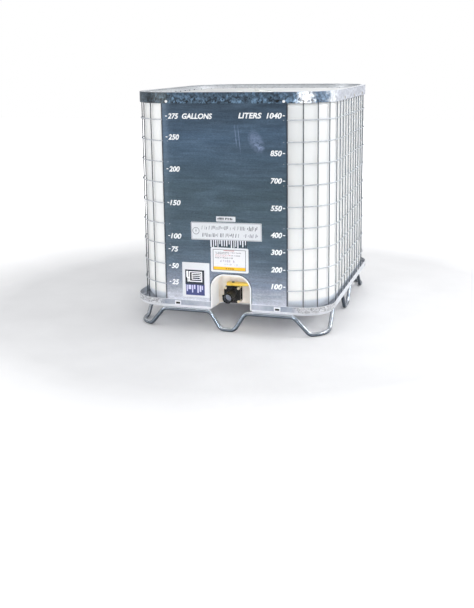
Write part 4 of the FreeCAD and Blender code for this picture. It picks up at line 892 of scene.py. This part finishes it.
# Area lights: place, the point they face, size, power and the spread of their beam in degrees.
LIGHTS = {
    "key": ((2.6, -4.8, 2.9), (0, 0, 0.5), (2.2, 2.2), 92, 180),
    "fill": ((-4.2, -3.4, 1.6), (0, 0, 0.4), (2.4, 2.0), 96, 180),
    "front_low": ((1.6, -4.4, 0.9), (0.02, -0.5, 0.17), (0.4, 0.3), 0.46, 14),
    "side": ((4.6, 0.6, 2.6), (0, 0, 0.6), (3.0, 2.0), 125, 180),
    "back": ((0.5, 4.5, 3.5), (0, 0, 0.6), (4.0, 2.0), 50, 180),
}
ROOM_LIGHT = 0.60
ROOM_LEVELS = ((0.0, 0.30), (0.75, 1.0))     # direction's height, brightness of the room there


def area_light(name, place, target, size, power, spread):
    """A soft rectangular lamp turned towards a point."""
    light = bpy.data.lights.new(name, "AREA")
    light.shape = "RECTANGLE"
    light.size, light.size_y = size
    light.energy = power
    light.spread = math.radians(spread)
    item = bpy.data.objects.new(name, light)
    bpy.context.scene.collection.objects.link(item)
    item.location = place
    item.rotation_euler = (Vector(target) - Vector(place)).to_track_quat("-Z", "Y").to_euler()


def studio():
    """White behind the object; for the light itself a dimmer room, brightest overhead."""
    world = bpy.data.worlds.new("studio")
    bpy.context.scene.world = world
    world.use_nodes = True
    nodes, links = world.node_tree.nodes, world.node_tree.links
    room = nodes["Background"]
    room.inputs["Strength"].default_value = ROOM_LIGHT
    height = nodes.new("ShaderNodeSeparateXYZ")
    links.new(nodes.new("ShaderNodeTexCoord").outputs["Generated"], height.inputs[0])
    ramp = nodes.new("ShaderNodeValToRGB")
    for element, (place, level) in zip(ramp.color_ramp.elements, ROOM_LEVELS):
        element.position = place
        element.color = (level, level * 1.01, level * 1.03, 1.0)
    links.new(height.outputs["Z"], ramp.inputs[0])
    links.new(ramp.outputs[0], room.inputs["Color"])
    white = nodes.new("ShaderNodeBackground")
    white.inputs["Color"].default_value = (1.0, 1.0, 1.0, 1.0)
    view = nodes.new("ShaderNodeMixShader")
    links.new(nodes.new("ShaderNodeLightPath").outputs["Is Camera Ray"], view.inputs[0])
    links.new(room.outputs[0], view.inputs[1])
    links.new(white.outputs[0], view.inputs[2])
    links.new(view.outputs[0], nodes["World Output"].inputs["Surface"])
    for name, settings in LIGHTS.items():
        area_light(name, *settings)
    bpy.context.scene.view_settings.view_transform = "Standard"


# The camera stands in front, to the right: place in metres, angles in radians, lens in mm.
CAMERA_PLACE = (1.2936, -4.6531, 1.3243)
CAMERA_YAW, CAMERA_PITCH, CAMERA_ROLL = 0.30957, -0.19005, 0.015079
CAMERA_LENS, CAMERA_SENSOR = 53.24, 36.0
CAMERA_SHIFT = (0.0188, -0.1204)


def camera():
    """Eye height, lens and shift of the reference view."""
    data = bpy.data.cameras.new("camera")
    data.lens = CAMERA_LENS
    data.sensor_width = CAMERA_SENSOR
    data.shift_x, data.shift_y = CAMERA_SHIFT
    item = bpy.data.objects.new("camera", data)
    turn = (Matrix.Rotation(CAMERA_YAW, 4, "Z") @ Matrix.Rotation(CAMERA_PITCH, 4, "X")
            @ Matrix.Rotation(CAMERA_ROLL, 4, "Y") @ Matrix.Rotation(math.pi / 2, 4, "X"))
    item.matrix_world = Matrix.Translation(CAMERA_PLACE) @ turn
    bpy.context.scene.collection.objects.link(item)
    bpy.context.scene.camera = item


dress_frame()
level_scale()
long_plate_print()
small_tag_print()
pressed_strip()
placard_print()
square_label_print()
clip_slot_shadows()
outlet_lugs()
stage()
studio()
camera()
